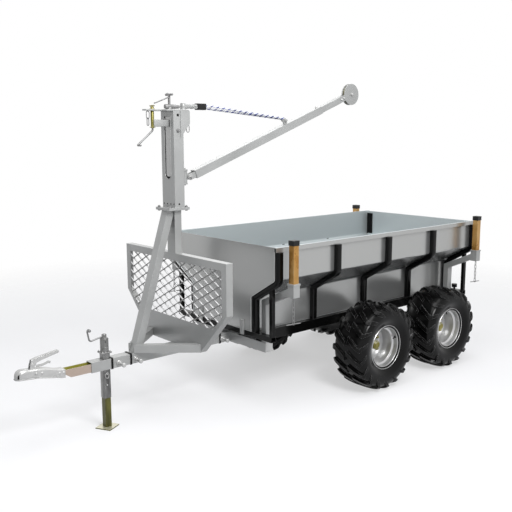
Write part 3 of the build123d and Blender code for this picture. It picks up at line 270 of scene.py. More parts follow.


# In these finishes the edge colour is a painted highlight along the edges, and the colour given for faces
# that look along one axis (up, and to the left for pink_zinc) is painted light.
FINISHES = {
    # zinc_sheet: the lighter inside colour is painted light on the faces inside the tub.
    "tub_sheet": finish("zinc_sheet", (0.39, 0.395, 0.39), (0.43, 0.435, 0.43), metallic=0.7, cloud=0.8,
                        rough=(0.2, 0.28), stretch=(0.3, 1.0, 1.0), bump=0.01, inside=(0.50, 0.54, 0.55)),
    "scuffed": finish("scuffed_zinc", (0.30, 0.31, 0.31), (0.38, 0.39, 0.39), metallic=0.5, cloud=2.0,
                      rough=(0.42, 0.55), stretch=(0.3, 1.0, 1.0), bump=0.03),
    "silver": finish("silver_coat", (0.34, 0.345, 0.34), (0.41, 0.415, 0.41), metallic=0.35,
                     rough=(0.3, 0.42), edge=(0.75, 0.76, 0.76), bump=0.04),
    "black_paint": finish("black_gloss", (0.002, 0.002, 0.002), (0.004, 0.004, 0.004), shine=0.15,
                          rough=(0.1, 0.16), edge=(0.10, 0.10, 0.10), edge_radius=0.004, bump=0.01),
    "yellow_zinc": finish("yellow_zinc", (0.13, 0.12, 0.02), (0.32, 0.28, 0.07), metallic=0.5,
                          rough=(0.28, 0.4), cloud=9.0, edge=(0.62, 0.58, 0.36), painted_light_colour=(0.58, 0.56, 0.42)),
    "stake_zinc": finish("amber_zinc", (0.36, 0.17, 0.03), (0.58, 0.38, 0.15), metallic=0.6,
                         rough=(0.25, 0.38), cloud=6.0, edge=(0.75, 0.66, 0.45)),
    "zinc_bright": finish("bright_zinc", (0.42, 0.42, 0.415), (0.54, 0.54, 0.53), metallic=0.4,
                          rough=(0.2, 0.32), edge=(0.85, 0.85, 0.85)),
    "rim_silver": finish("rim_silver", (0.50, 0.50, 0.50), (0.60, 0.60, 0.60), metallic=0.8,
                         rough=(0.28, 0.36), edge=(0.95, 0.95, 0.95), bump=0.01),
    # tyre_rubber: the grey edge colour paints highlights along the lugs.
    "tyre": finish("tyre_rubber", (0.002, 0.002, 0.002), (0.004, 0.004, 0.004), shine=0.16,
                   rough=(0.12, 0.2), bump=0.03, edge=(0.30, 0.30, 0.30), edge_radius=0.0022),
    "black_plastic": finish("black_plastic", (0.004, 0.004, 0.004), (0.008, 0.008, 0.008), shine=0.3,
                            rough=(0.35, 0.5), bump=0.05),
    "rope": finish("white_rope", (0.50, 0.51, 0.55), (0.80, 0.81, 0.85), rough=(0.7, 0.8), bump=0.3),
    # mesh_zinc: the light colour on the strands' upward faces is a painted highlight.
    "mesh": finish("mesh_zinc", (0.20, 0.20, 0.195), (0.28, 0.28, 0.275), metallic=0.3, rough=(0.25, 0.4),
                   painted_light_colour=(0.85, 0.85, 0.85)),
    "worn": finish("worn_zinc", (0.17, 0.17, 0.17), (0.30, 0.30, 0.30), metallic=0.5, rough=(0.35, 0.5),
                   cloud=25.0),
    "jack": finish("jack_zinc", (0.07, 0.07, 0.07), (0.31, 0.31, 0.305), metallic=0.6, rough=(0.2, 0.34),
                   cloud=24.0, stretch=(1.0, 1.0, 0.25), edge=(0.8, 0.8, 0.8)),
    # pink_zinc: the pink colour on the faces that look to the left is painted light.
    "nose": finish("pink_zinc", (0.15, 0.14, 0.03), (0.26, 0.24, 0.08), metallic=0.3, rough=(0.3, 0.4),
                   edge=(0.75, 0.70, 0.55), painted_light_colour=(0.45, 0.36, 0.30), painted_light_axis=1, inside=(0.34, 0.32, 0.05),
                   hollow=NOSE_HOLLOW),
    "leg": finish("olive_zinc", (0.04, 0.04, 0.008), (0.13, 0.125, 0.03), metallic=0.5, rough=(0.28, 0.4),
                  cloud=20.0, stretch=(1.0, 1.0, 0.3), edge=(0.45, 0.43, 0.25), painted_light_colour=(0.56, 0.54, 0.41)),
    "rope_fleck": finish("blue_rope_yarn", (0.01, 0.01, 0.03), (0.10, 0.13, 0.42), cloud=60.0,
                         rough=(0.7, 0.8), bump=0.3),
}

SLOT_OF = {entry["node"]: entry["material_slot"] for entry in frame["record"]["subparts"]}

# Nodes whose finish isn't that of their slot
NODE_FINISH = {"nose_channel": "nose", "jack_leg": "leg", "tub_floor": "scuffed"}


def finish_frame():
    """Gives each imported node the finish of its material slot."""
    for node, item in NODES.items():
        for place in item.material_slots:
            place.material = FINISHES[NODE_FINISH.get(node, SLOT_OF[node])]


finish_frame()

# Places are given in millimetres as in the part's source: from a point of the beam's middle line,
# and heights from a level 58 mm above the ground. at() turns them into metres of the frame.
SOURCE_ORIGIN = np.array([-717.5, 0.0, 58.0])
MM = 0.001
SIDES = (("left", 1), ("right", -1))
ENDS = (("front", 1), ("rear", -1))
WHEELS = [(end, along, side, across) for end, along in ENDS for side, across in SIDES]


def at(points):
    """Source millimetres to frame metres, for one point or an array of them."""
    return (np.asarray(points, float) + SOURCE_ORIGIN) * MM


# Surfaces: each returns (points, faces), and every closed one is turned to face outwards


def grid_faces(rows, columns, wrap_rows=False, wrap_columns=True):
    """Quads between neighbours of a grid whose points are numbered row by row."""
    i = np.arange(rows if wrap_rows else rows - 1)[:, None]
    j = np.arange(columns if wrap_columns else columns - 1)[None, :]
    i_next = (i + 1) % rows
    j_next = (j + 1) % columns
    corners = [i * columns + j, i * columns + j_next, i_next * columns + j_next, i_next * columns + j]
    return np.stack(np.broadcast_arrays(*corners), -1).reshape(-1, 4)


def outward(points, faces):
    """Reverses the faces of a closed surface if its signed volume is below zero."""
    volume = 0.0
    middle = points.mean(0)
    for size in {len(face) for face in faces}:
        group = np.array([face for face in faces if len(face) == size])
        corners = points[group] - middle
        for k in range(1, size - 1):
            volume += np.einsum("ij,ij->", corners[:, 0], np.cross(corners[:, k], corners[:, k + 1]))
    if volume < 0:
        faces = [tuple(reversed(face)) for face in faces]
    return points, faces


def unit(vectors):
    """Vectors made one long."""
    return vectors / np.linalg.norm(vectors, axis=-1, keepdims=True)


def skin(rings, wrap=False):
    """A closed skin over rings of points: quads between the rings, and a flat face at each end."""
    rows, columns, _ = rings.shape
    points = rings.reshape(-1, 3)
    faces = [tuple(face) for face in grid_faces(rows, columns, wrap).tolist()]
    if not wrap:
        faces.append(tuple(reversed(range(columns))))
        faces.append(tuple(range((rows - 1) * columns, rows * columns)))
    return outward(points, faces)


def rounded(points, radius, steps=6, wrap=False):
    """A bent line whose corners are arcs: each arc is a rational quadratic curve from the point one
    tangent length before the corner to the point one tangent length after it."""
    points = np.asarray(points, float)
    before = np.roll(points, 1, 0)
    after = np.roll(points, -1, 0)
    radii = np.broadcast_to(np.asarray(radius, float), len(points))
    keep = slice(None) if wrap else slice(1, -1)
    back = unit(before - points)[keep]
    ahead = unit(after - points)[keep]
    half = np.arccos(np.clip((back * ahead).sum(-1), -1.0, 1.0)) / 2
    tangent = (radii[keep] / np.tan(half))[:, None, None]
    weight = np.sin(half)[:, None, None]
    t = np.linspace(0.0, 1.0, steps)[None, :, None]
    corner = points[keep][:, None, :]
    start = corner + back[:, None, :] * tangent
    end = corner + ahead[:, None, :] * tangent
    mass = (1 - t) ** 2 + 2 * t * (1 - t) * weight + t ** 2
    arcs = ((1 - t) ** 2 * start + 2 * t * (1 - t) * weight * corner + t ** 2 * end) / mass
    line = arcs.reshape(-1, points.shape[1])
    return line if wrap else np.concatenate([points[:1], line, points[-1:]])


def stood_across(x, flat, side=1):
    """A flat line of (y, z) pairs, stood across the trailer at a place along it."""
    return np.stack([np.full(len(flat), x), flat[:, 0] * side, flat[:, 1]], -1)


def between(stations, count):
    """The columns of a table of stations, each carried to a number of evenly spaced places."""
    table = np.array(stations, float)
    fine = np.linspace(0, len(table) - 1, count)
    return [np.interp(fine, np.arange(len(table)), column) for column in table.T]


def circle(radius, count=16):
    """A round section as (across, up) pairs."""
    turn = np.linspace(0.0, 2 * np.pi, count, endpoint=False)
    return radius * np.stack([np.cos(turn), np.sin(turn)], -1)


def rectangle(left, right, low, high):
    """The four corners of a rectangle, anticlockwise."""
    return [(left, low), (right, low), (right, high), (left, high)]


def box_section(width, height, radius, steps=4):
    """A rectangular section with round corners."""
    w = width / 2
    h = height / 2
    return rounded(rectangle(-w, w, -h, h), radius, steps, wrap=True)


def sweep(path, section, up=(0.0, 0.0, 1.0), wrap=False):
    """A section carried along a path in millimetres. The section's first axis lies across the path
    and the up direction, its second along the up direction."""
    path = np.asarray(path, float)
    if wrap:
        ahead = unit(np.roll(path, -1, 0) - np.roll(path, 1, 0))
    else:
        ahead = unit(np.gradient(path, axis=0))
    across = unit(np.cross(ahead, np.asarray(up, float)))
    rise = np.cross(across, ahead)
    sideways = section[None, :, :1] * across[:, None, :]
    upwards = section[None, :, 1:] * rise[:, None, :]
    return skin(path[:, None, :] + sideways + upwards, wrap)


def side_axes(axis):
    """Two directions square to an axis."""
    axis = unit(np.asarray(axis, float))
    helper = np.array([0.0, 0.0, 1.0]) if abs(axis[2]) < 0.9 else np.array([1.0, 0.0, 0.0])
    first = unit(np.cross(helper, axis))
    return axis, first, np.cross(axis, first)


def turned(start, axis, profile, sides=32, wrap=False):
    """A profile of (along, radius) pairs turned about an axis; a wrapped profile gives a ring."""
    axis, first, second = side_axes(axis)
    profile = np.asarray(profile, float)
    turn = np.linspace(0.0, 2 * np.pi, sides, endpoint=False)
    spokes = np.cos(turn)[:, None] * first + np.sin(turn)[:, None] * second
    rings = np.asarray(start, float) + profile[:, :1, None] * axis + profile[:, 1:, None] * spokes
    return skin(rings, wrap)


def pin(start, end, radius, bevel=0.8, sides=24):
    """A round bar between two places, with its two rims bevelled."""
    start = np.asarray(start, float)
    line = np.asarray(end, float) - start
    length = np.linalg.norm(line)
    profile = [(0, radius - bevel), (bevel, radius), (length - bevel, radius), (length, radius - bevel)]
    return turned(start, line, profile, sides)


def hexagon(start, axis, radius, thick, bevel=1.0):
    """A bolt head or nut: six flats, its two rims bevelled."""
    profile = [(0, radius - bevel), (bevel, radius), (thick - bevel, radius), (thick, radius - bevel)]
    return turned(start, axis, profile, 6)


WASHER = 1.8


def bolt(place, axis, head, thick):
    """A bolt as it shows: a washer, a six-sided head on it, and the rounded end of its shank."""
    place = np.asarray(place, float)
    axis = unit(np.asarray(axis, float))
    washer = pin(place, place + axis * WASHER, head * 1.25, 0.5)
    top = hexagon(place + axis * WASHER, axis, head, thick)
    shank = [(0, head * 0.5), (2, head * 0.5), (3.5, head * 0.35)]
    tip = turned(place + axis * (thick + WASHER), axis, shank, 12)
    return join(washer, top, tip)


def inset(outline, distance):
    """A flat outline, anticlockwise, moved inwards by a distance with mitred corners."""
    before = unit(outline - np.roll(outline, 1, 0))
    after = unit(np.roll(outline, -1, 0) - outline)
    first = np.stack([-before[:, 1], before[:, 0]], -1)
    second = np.stack([-after[:, 1], after[:, 0]], -1)
    total = first + second
    return outline + total * (2 * distance / (total ** 2).sum(-1, keepdims=True))


def slab(outline, origin, u, v, thick, bevel=1.0):
    """A plate: an anticlockwise outline on two directions, its thickness along their cross product,
    with both rims bevelled."""
    outline = np.asarray(outline, float)
    u = unit(np.asarray(u, float))
    v = unit(np.asarray(v, float))
    w = np.cross(u, v)
    rings = []
    for inwards, height in ((bevel, 0.0), (0.0, bevel), (0.0, thick - bevel), (bevel, thick)):
        flat = inset(outline, inwards)
        rings.append(np.asarray(origin, float) + flat[:, :1] * u + flat[:, 1:] * v + height * w)
    return skin(np.array(rings))


def join(*shapes):
    """Several (points, faces) pairs as one."""
    points = []
    faces = []
    count = 0
    for more, their_faces in shapes:
        points.append(more)
        faces.extend(tuple(int(k) + count for k in face) for face in their_faces)
        count += len(more)
    return np.concatenate(points), faces


def mirrored(shape):
    """The same shape on the other side of the trailer, its faces still outwards."""
    points, faces = shape
    return points * np.array([1.0, -1.0, 1.0]), [tuple(reversed(face)) for face in faces]


def piece(name, body, slot, shapes, replaces=(), material=None, crease=35.0):
    """Puts shapes, in source millimetres, into one named mesh that rides on a body."""
    points, faces = join(*shapes)
    mesh = bpy.data.meshes.new(name)
    mesh.from_pydata(at(points), [], faces)
    mesh.polygons.foreach_set("use_smooth", np.ones(len(mesh.polygons), bool))
    mesh.set_sharp_from_angle(angle=math.radians(crease))
    mesh.materials.append(material or FINISHES[slot])
    thing = put(name, mesh)
    if body:
        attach(thing, body)
    if replaces:
        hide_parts(*replaces)
    return thing


# Wheels. Across is measured from the middle of the tyre to its outer side, turn from the top forwards
WHEEL_X = 360.0
BOGIE_X = -140.0
WHEEL_Y = 559.0
AXLE_Z = 232.0
TYRE_HALF = 128.8
LUGS = 18
LUG_STEP = 2 * math.pi / LUGS
LUG_HALF_TURN = 0.050
LUG_FLANK = 0.0065
LUG_HIGH = 16.5
TREAD_START = 6.0
HOOK_AT = 104.0
TREAD_END = 158.0
RAKE = 0.66
HOOK_RAKE = 0.95
TREAD_RADIUS = 273.0
# Share of the lug's height that is left at a distance along the skin
LUG_TAPER = ((0, 104, 128, 158), (1.0, 1.0, 0.85, 0.45))
SKIN_POINTS = ((99, 149), (108, 158), (121, 180), (127, 208), (126, 232), (116, 255), (96, 267), (60, 272),
               (0, 273.5))
# Distances along the skin from the middle of the tread, where the grid has its columns
SKIN_MARKS = (0, 3, 6, 9, 30, 55, 80, 95, 104, 115, 128, 140, 150, 154, 158, 162, 170, 180, 192, 205, 215)
RIDGE_AT = 184
BEAD_Y = 99.0
BEAD_RADIUS = 132.0
RIM_FLANGE_Y = 107
RIM_SEAT = 131
RIM_SHELF = 127
RIM_WELL = 112
RIM_WALL = 3.0
DISC_WALL = 5.0
STUDS = 4
STUD_CIRCLE = 57
VALVE_TURN = {"front": -70.0, "rear": 8.0}
VALVE_RADIUS = 128.0
VALVE_Y = 82.0
VALVE_FORM = ((2, 9.5), (-1.5, 9.5), (-3, 7.5), (-8, 5.5), (-20, 4.2), (-24, 3.6))


def spline(points, marks):
    """A Catmull-Rom curve through points, at places given by their distance from its end."""
    points = np.asarray(points, float)
    ends = np.concatenate([2 * points[:1] - points[1:2], points, 2 * points[-1:] - points[-2:-1]])
    t = np.linspace(0, len(points) - 1, 20 * len(points))
    i = np.minimum(t.astype(int), len(points) - 2)
    f = (t - i)[:, None]
    a, b, c, d = ends[i], ends[i + 1], ends[i + 2], ends[i + 3]
    square = 2 * a - 5 * b + 4 * c - d
    cube = 3 * b - a - 3 * c + d
    line = 0.5 * (2 * b + (c - a) * f + square * f ** 2 + cube * f ** 3)
    run = np.concatenate([[0.0], np.cumsum(np.linalg.norm(np.diff(line, axis=0), axis=1))])
    return np.stack([np.interp(run[-1] - marks, run, line[:, k]) for k in range(line.shape[1])], -1)


def tyre_skin():
    """The skin from the inner bead over the tread to the outer bead, each point pushed out along the
    skin's normal by the lug height. A lug is a bar at a rake to the tread whose outer end hooks back;
    rows of grid points lie along its flanks, so its edges are straight."""
    marks = np.array(SKIN_MARKS)
    half = spline(SKIN_POINTS, marks)
    across = np.concatenate([-half[::-1, 0], half[1:, 0]])
    radius = np.concatenate([half[::-1, 1], half[1:, 1]])
    run = np.concatenate([-marks[::-1], marks[1:]]).astype(float)
    tangent = unit(np.stack([np.gradient(across), np.gradient(radius)], -1))
    normal = np.stack([-tangent[:, 1], tangent[:, 0]], -1)
    away = np.abs(run)
    shift = np.sign(run) * np.where(
        away < HOOK_AT, RAKE * away, RAKE * HOOK_AT - HOOK_RAKE * (away - HOOK_AT)) / TREAD_RADIUS
    height = LUG_HIGH * np.clip((away - TREAD_START) / 3, 0, 1) * np.clip((TREAD_END - away) / 4, 0, 1)
    height = height * np.interp(away, *LUG_TAPER)
    ridge = 1.6 * np.exp(-((away - RIDGE_AT) / 5.0) ** 2)
    step = LUG_STEP / 2
    offsets = np.array([
        -LUG_HALF_TURN - LUG_FLANK, -LUG_HALF_TURN, -0.02, 0.02, LUG_HALF_TURN, LUG_HALF_TURN + LUG_FLANK,
        step / 2 - 0.005, step / 2 + 0.005])
    turns = (np.arange(2 * LUGS)[:, None] * step + offsets[None, :]).reshape(-1)
    place = np.tile(offsets, 2 * LUGS)
    parity = np.repeat(np.arange(2 * LUGS) % 2, len(offsets))
    on_top = np.abs(place) < LUG_HALF_TURN + LUG_FLANK / 2
    row_of = (run > 0).astype(int)
    raised = (on_top[:, None] & (parity[:, None] == row_of[None, :])) * height[None, :] + ridge[None, :]
    a = np.clip(across[None, :] + normal[None, :, 0] * raised, -TYRE_HALF, TYRE_HALF)
    r = radius[None, :] + normal[None, :, 1] * raised
    turn = turns[:, None] + shift[None, :]
    return np.stack([r * np.sin(turn), a, r * np.cos(turn)], -1)


def tyre_shape():
    """The tyre's skin closed under its beads by a straight inner wall."""
    rings = tyre_skin()
    rows = len(rings)
    inner = []
    for a in (-BEAD_Y, BEAD_Y):
        edge = rings[:, 0 if a < 0 else -1]
        turn = np.arctan2(edge[:, 0], edge[:, 2])
        inner.append(np.stack([
            BEAD_RADIUS * np.sin(turn), np.full(rows, a), BEAD_RADIUS * np.cos(turn)], -1))
    loop = np.concatenate([inner[0][:, None], rings, inner[1][:, None]], 1)
    faces = [tuple(face) for face in grid_faces(rows, loop.shape[1], wrap_rows=True).tolist()]
    return outward(loop.reshape(-1, 3), faces)


def thick(path, wall):
    """A bent line given a thickness: the line moved half of it each way, closed into one outline."""
    path = np.asarray(path, float)
    ahead = unit(np.gradient(path, axis=0))
    normal = np.stack([-ahead[:, 1], ahead[:, 0]], -1)
    return np.concatenate([path + normal * wall / 2, (path - normal * wall / 2)[::-1]])


def rim_shape():
    """The rim: a pressed barrel with rolled flanges, bead seats and a stepped well, and its disc."""
    barrel = rounded(
        [(RIM_FLANGE_Y, 144), (104, 147), (100, 145), (97, RIM_SEAT), (70, 128.5), (64, RIM_SHELF),
         (60, 114), (28, RIM_WELL), (-58, RIM_WELL), (-66, RIM_SHELF), (-97, RIM_SEAT), (-100, 145),
         (-RIM_FLANGE_Y, 146)], 2.2, 4)
    disc = rounded([(-20, 111), (-24, 100), (-10, 88), (-10, 66), (-13, 60), (-13, 31)], 4.0, 5)
    barrel_ring = turned((0, 0, 0), (0, 1, 0), thick(barrel, RIM_WALL), 96, wrap=True)
    return [barrel_ring, turned((0, 0, 0), (0, 1, 0), thick(disc, DISC_WALL), 72, wrap=True)]


def hub_shape():
    """The hub: a flange behind the disc, a waisted boss through it with a capped end, and studs."""
    boss = rounded(
        [(-82, 26), (-24, 29), (-22, 68), (-14, 68), (-12, 36), (-2, 33), (16, 30), (24, 29), (27, 26),
         (27, 23), (33, 22), (35, 19)], 1.2, 3)
    shapes = [turned((0, 0, 0), (0, 1, 0), boss, 48)]
    for i in range(STUDS):
        turn = math.radians(45 + 90 * i)
        place = np.array([STUD_CIRCLE * math.sin(turn), -8, STUD_CIRCLE * math.cos(turn)])
        shapes.append(pin(place + (0, -1.5, 0), place + (0, 1, 0), 13, 0.6, 20))
        shapes.append(hexagon(place + (0, 1, 0), (0, 1, 0), 10.5, 9))
        shapes.append(pin(place + (0, 8, 0), place + (0, 16, 0), 5.5, 1.0, 14))
    return shapes


def valve_shape(turn_degrees):
    """The valve: a rubber boot in the outer shelf of the rim, narrowing to its stem."""
    turn = math.radians(turn_degrees)
    out = np.array([math.sin(turn), 0.0, math.cos(turn)])
    return turned(out * VALVE_RADIUS + (0, VALVE_Y, 0), out, VALVE_FORM, 16)


def on_side(shape, across, middle):
    """A wheel's shape as it stands on the left or the right of the trailer, about its middle."""
    points, faces = shape if across > 0 else mirrored(shape)
    return points + middle, faces


def build_wheels():
    """Four wheels: tyre, rim, hub and valve, the right ones mirrored."""
    tyre = tyre_shape()
    rim = join(*rim_shape())
    hub = join(*hub_shape())
    for end, along, side, across in WHEELS:
        body = f"wheel_{end}_{side}"
        middle = np.array([BOGIE_X + along * WHEEL_X, across * WHEEL_Y, AXLE_Z])
        table = (("tyre", tyre, "tyre"), ("rim", rim, "rim_silver"), ("hub", hub, "yellow_zinc"))
        for name, shape, slot in table:
            piece(f"{name}_made_{end}_{side}", body, slot, [on_side(shape, across, middle)],
                  replaces=[f"{name}_{end}_{side}"], crease=30.0)
        valve = valve_shape(VALVE_TURN[end])
        piece(f"valve_{end}_{side}", body, "black_plastic", [on_side(valve, across, middle)])


# Tub ribs
RIB_XS = (-946.0, -446.0, 54.0, 554.0, 1054.0)
RIB_LINE = ((318.3, 418), (318.3, 629.8), (530.0, 756.6), (530.0, 939))
RIB_RADII = (0, 34, 50, 0)


def rib_shape(x, across):
    """A pressed rib: a section with round corners carried along the folded side of the tub."""
    flat = rounded(RIB_LINE, RIB_RADII, 9)
    return sweep(stood_across(x, flat, across), box_section(35.4, 40.0, 9.0, 6), up=(1, 0, 0))


def build_ribs():
    """Five ribs on each side of the tub."""
    for side, across in SIDES:
        piece(f"ribs_made_{side}", "chassis", "black_paint", [rib_shape(x, across) for x in RIB_XS],
              replaces=[f"ribs_{side}"])


# Chains
CHAIN_PLAY = 0.3


def link_shape(place, length, width, wire, quarter):
    """One link: a round wire carried along two straight sides and two half rings."""
    turn = np.linspace(0, np.pi, 9)
    mid = (width - wire) / 2
    straight = length / 2 - wire / 2 - mid
    top = np.stack([mid * np.cos(turn), straight + mid * np.sin(turn)], -1)
    bottom = np.stack([-mid * np.cos(turn), -straight - mid * np.sin(turn)], -1)
    flat = np.concatenate([top, bottom])
    zero = np.zeros(len(flat))
    if quarter:
        path = np.stack([zero, flat[:, 0], flat[:, 1]], -1)
        up = (1, 0, 0)
    else:
        path = np.stack([flat[:, 0], zero, flat[:, 1]], -1)
        up = (0, 1, 0)
    return sweep(path + np.asarray(place, float), circle(wire / 2, 8), up, wrap=True)


def chain_shape(x, y, top, link, count):
    """A hanging run of links, each a quarter turn from the one above, inside it by the wire."""
    length, width, wire = link
    pitch = length - 2 * wire - CHAIN_PLAY
    heights = [top - length / 2 - i * pitch for i in range(count)]
    return [link_shape((x, y, z), length, width, wire, i % 2) for i, z in enumerate(heights)]


STAKE_XS = (1002.0, -894.0)
STAKE_Y = 597.0
CHAIN_SET = 16.0
POCKET_FOOT = 674.7
# Length, width and wire of a link
STAKE_LINK = (34.0, 16.0, 4.0)
STAKE_LINKS = 6
TOGGLE_Z = 519.5
TOGGLE = ((-56, -3), (-8, 0), (8, 0), (56, 3))
TOGGLE_RADIUS = 3.2
MAST_LINK = (48.0, 24.0, 5.0)
# Place and number of links of the mast's chains
MAST_CHAINS = ((1590.0, 2), (1312.0, 3))
MAST_CHAIN_TOP = 1751.7


def build_chains():
    """Chains with a toggle bar under each stake pocket, and links under both ends of the mast head."""
    shapes = []
    for x in STAKE_XS:
        for _, across in SIDES:
            cx = x + CHAIN_SET
            cy = across * (STAKE_Y + CHAIN_SET)
            shapes.extend(chain_shape(cx, cy, POCKET_FOOT, STAKE_LINK, STAKE_LINKS))
            bar = rounded([(cx + run, cy, TOGGLE_Z + rise) for run, rise in TOGGLE], 20.0, 4)
            shapes.append(sweep(bar, circle(TOGGLE_RADIUS, 10), (0, 1, 0)))
    piece("stake_chains_made", "chassis", "zinc_bright", shapes, replaces=["stake_chains"],
          material=FINISHES["worn"])
    mast = []
    for x, count in MAST_CHAINS:
        mast.extend(chain_shape(x, 0.0, MAST_CHAIN_TOP, MAST_LINK, count))
    piece("mast_chains_made", "chassis", "zinc_bright", mast, replaces=["mast_chains"],
          material=FINISHES["worn"])


# Headboard mesh: expanded metal, as rows of zigzag strands whose flats stand at a slant
MESH_X = 1444.0
MESH_LONG = 100.0
MESH_HIGH = 53.0
MESH_BOTTOM = 520.0
WINDOW_HIGH = 351.5
# Across and depth of a bar's corners, and how far a bar reaches past the ends of its line
BAR_SECTION = ((-1.8, -9.0), (1.8, -9.0), (1.8, 1.0), (-1.8, 1.0))
BAR_REACH = 2.0
MESH_WINDOW = ((-482, 871.5), (-482, 605.6), (-399.7, 520), (399.7, 520), (482, 605.6), (482, 871.5))


def clip_line(start, end, outline):
    """The part of straight lines inside a convex outline, by the share of each that lies past every
    edge; returns the shares at which each line enters and leaves."""
    low = np.zeros(len(start))
    high = np.ones(len(start))
    outline = np.asarray(outline, float)
    for a, b in zip(outline, np.roll(outline, -1, 0)):
        normal = np.array([-(b - a)[1], (b - a)[0]])
        first = (start - a) @ normal
        change = (end - start) @ normal
        share = np.where(np.abs(change) > 1e-9, -first / np.where(change == 0, 1.0, change), 0.0)
        low = np.where(change > 0, np.maximum(low, share), low)
        high = np.where(change < 0, np.minimum(high, share), high)
        high = np.where((np.abs(change) <= 1e-9) & (first < 0), -1.0, high)
    return low, high


def mesh_strands():
    """Every side of every diamond as a flat bar, its width turned out of the sheet, clipped to the
    window; the bars of a row meet end to end at the knuckles."""
    rows = np.arange(-1, int(WINDOW_HIGH / MESH_HIGH) + 2)
    columns = np.arange(-6, 7)
    half = MESH_LONG / 2
    rise = MESH_HIGH / 2
    row, column = np.meshgrid(rows, columns, indexing="ij")
    centre = np.stack([
        (column * MESH_LONG).ravel(), (MESH_BOTTOM - 10 + row * MESH_HIGH).ravel()], -1)
    starts = []
    ends = []
    corners = ((-half, 0), (0, rise), (half, 0), (0, -rise))
    for a, b in zip(corners, corners[1:] + corners[:1]):
        starts.append(centre + a)
        ends.append(centre + b)
    start = np.concatenate(starts)
    end = np.concatenate(ends)
    low, high = clip_line(start, end, inset(np.array(MESH_WINDOW), -10.0))
    inside = high > low + 0.02
    start, end, low, high = start[inside], end[inside], low[inside, None], high[inside, None]
    first = start + (end - start) * low
    last = start + (end - start) * high
    return first, last


def strand_bars(first, last):
    """A bar of eight corners on each strand: its narrow edge to the front, its flat going back."""
    count = len(first)
    ahead = unit(last - first)
    side = np.stack([-ahead[:, 1], ahead[:, 0]], -1)
    side = side * np.sign(side[:, 1:])
    corners = []
    for place in (first - ahead * BAR_REACH, last + ahead * BAR_REACH):
        for wide, deep in BAR_SECTION:
            flat = place + side * wide
            corners.append(np.stack([np.full(count, MESH_X + deep), flat[:, 0], flat[:, 1]], -1))
    points = np.stack(corners, 1).reshape(-1, 3)
    box = np.array([(0, 1, 2, 3), (7, 6, 5, 4), (0, 4, 5, 1), (1, 5, 6, 2), (2, 6, 7, 3), (3, 7, 4, 0)])
    faces = (np.arange(count)[:, None, None] * 8 + box[None]).reshape(-1, 4)
    return outward(points, [tuple(face) for face in faces.tolist()])


def build_headboard_mesh():
    """The panel of expanded metal in the headboard's window."""
    piece("headboard_mesh_made", "chassis", "silver", [strand_bars(*mesh_strands())],
          replaces=["headboard_mesh"], material=FINISHES["mesh"])


# Stay rope: two strands, each of three yarns twisted round it
ROPE_START = (1188.0, 0.0, 1782.0)
EYE_ALONG = 858.0
EYE_RISE = 48.0
YARNS = 3
YARN_POINTS = 220
YARN_LAY = 46.0
YARN_ORBIT = 3.0
YARN_RADIUS = 3.2
# How far the two strands stand off their middle line, sideways and upwards
# The boom's angle above the level
STRAND_SPREAD = (13.0, 7.0)
# The share of the rope, from the block, over which it turns from the swivel to the boom
BOOM_ANGLE = math.radians(20.5)
FOOT_PIN = np.array([1312.0, 0.0, 1365.0])


def on_boom(distance, rise=0.0, y=0.0):
    """A place on the boom: a distance from the foot pin along it, and a rise square to it."""
    along = np.array([-math.cos(BOOM_ANGLE), 0.0, math.sin(BOOM_ANGLE)])
    up = np.array([math.sin(BOOM_ANGLE), 0.0, math.cos(BOOM_ANGLE)])
    return FOOT_PIN + along * distance + up * rise + np.array([0.0, y, 0.0])


def yarn_shape(start, end, side, phase):
    """One yarn: a helix round the straight line between two places, a full turn every lay."""
    t = np.linspace(0.0, 1.0, YARN_POINTS)
    line = start + (end - start) * t[:, None]
    length = np.linalg.norm(end - start)
    turn = 2 * np.pi * (t * length / YARN_LAY + phase)
    spread = np.interp(t, [0, 0.06, 1.0], [0.5, 1.0, 0.35])
    line[:, 1] += side * spread * STRAND_SPREAD[0] + YARN_ORBIT * np.cos(turn)
    line[:, 2] += YARN_ORBIT * np.sin(turn) + side * spread * STRAND_SPREAD[1]
    return sweep(line, circle(YARN_RADIUS, 8), (0, 1, 0))


def build_stay_rope():
    """The doubled stay rope between the block and the boom's eye."""
    start = np.array(ROPE_START)
    end = on_boom(EYE_ALONG, EYE_RISE) + np.array([6.0, 0.0, 9.0])
    white = []
    blue = []
    for side in (-1, 1):
        for k in range(YARNS):
            shape = yarn_shape(start, end, side, k / YARNS)
            (blue if k == 0 else white).append(shape)
    for name, shapes, finish_name in (("white", white, "rope"), ("blue", blue, "rope_fleck")):
        rope = piece(f"stay_rope_{name}", None, "rope", shapes, material=FINISHES[finish_name],
                     replaces=["stay_rope"] if name == "white" else ())
        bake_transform(rope)


def side_plate(outline, y, thick, bevel):
    """A plate that stands fore and aft: an (x, z) outline, its left face at y, its thickness going right."""
    return slab(outline, (0, y, 0), (1, 0, 0), (0, 0, 1), thick, bevel)


def level_plate(outline, z, thick, bevel=1.0, x=0.0):
    """A level plate: an (x, y) outline about a place on the middle line, its lower face at z."""
    return slab(outline, (x, 0, z), (1, 0, 0), (0, 1, 0), thick, bevel)


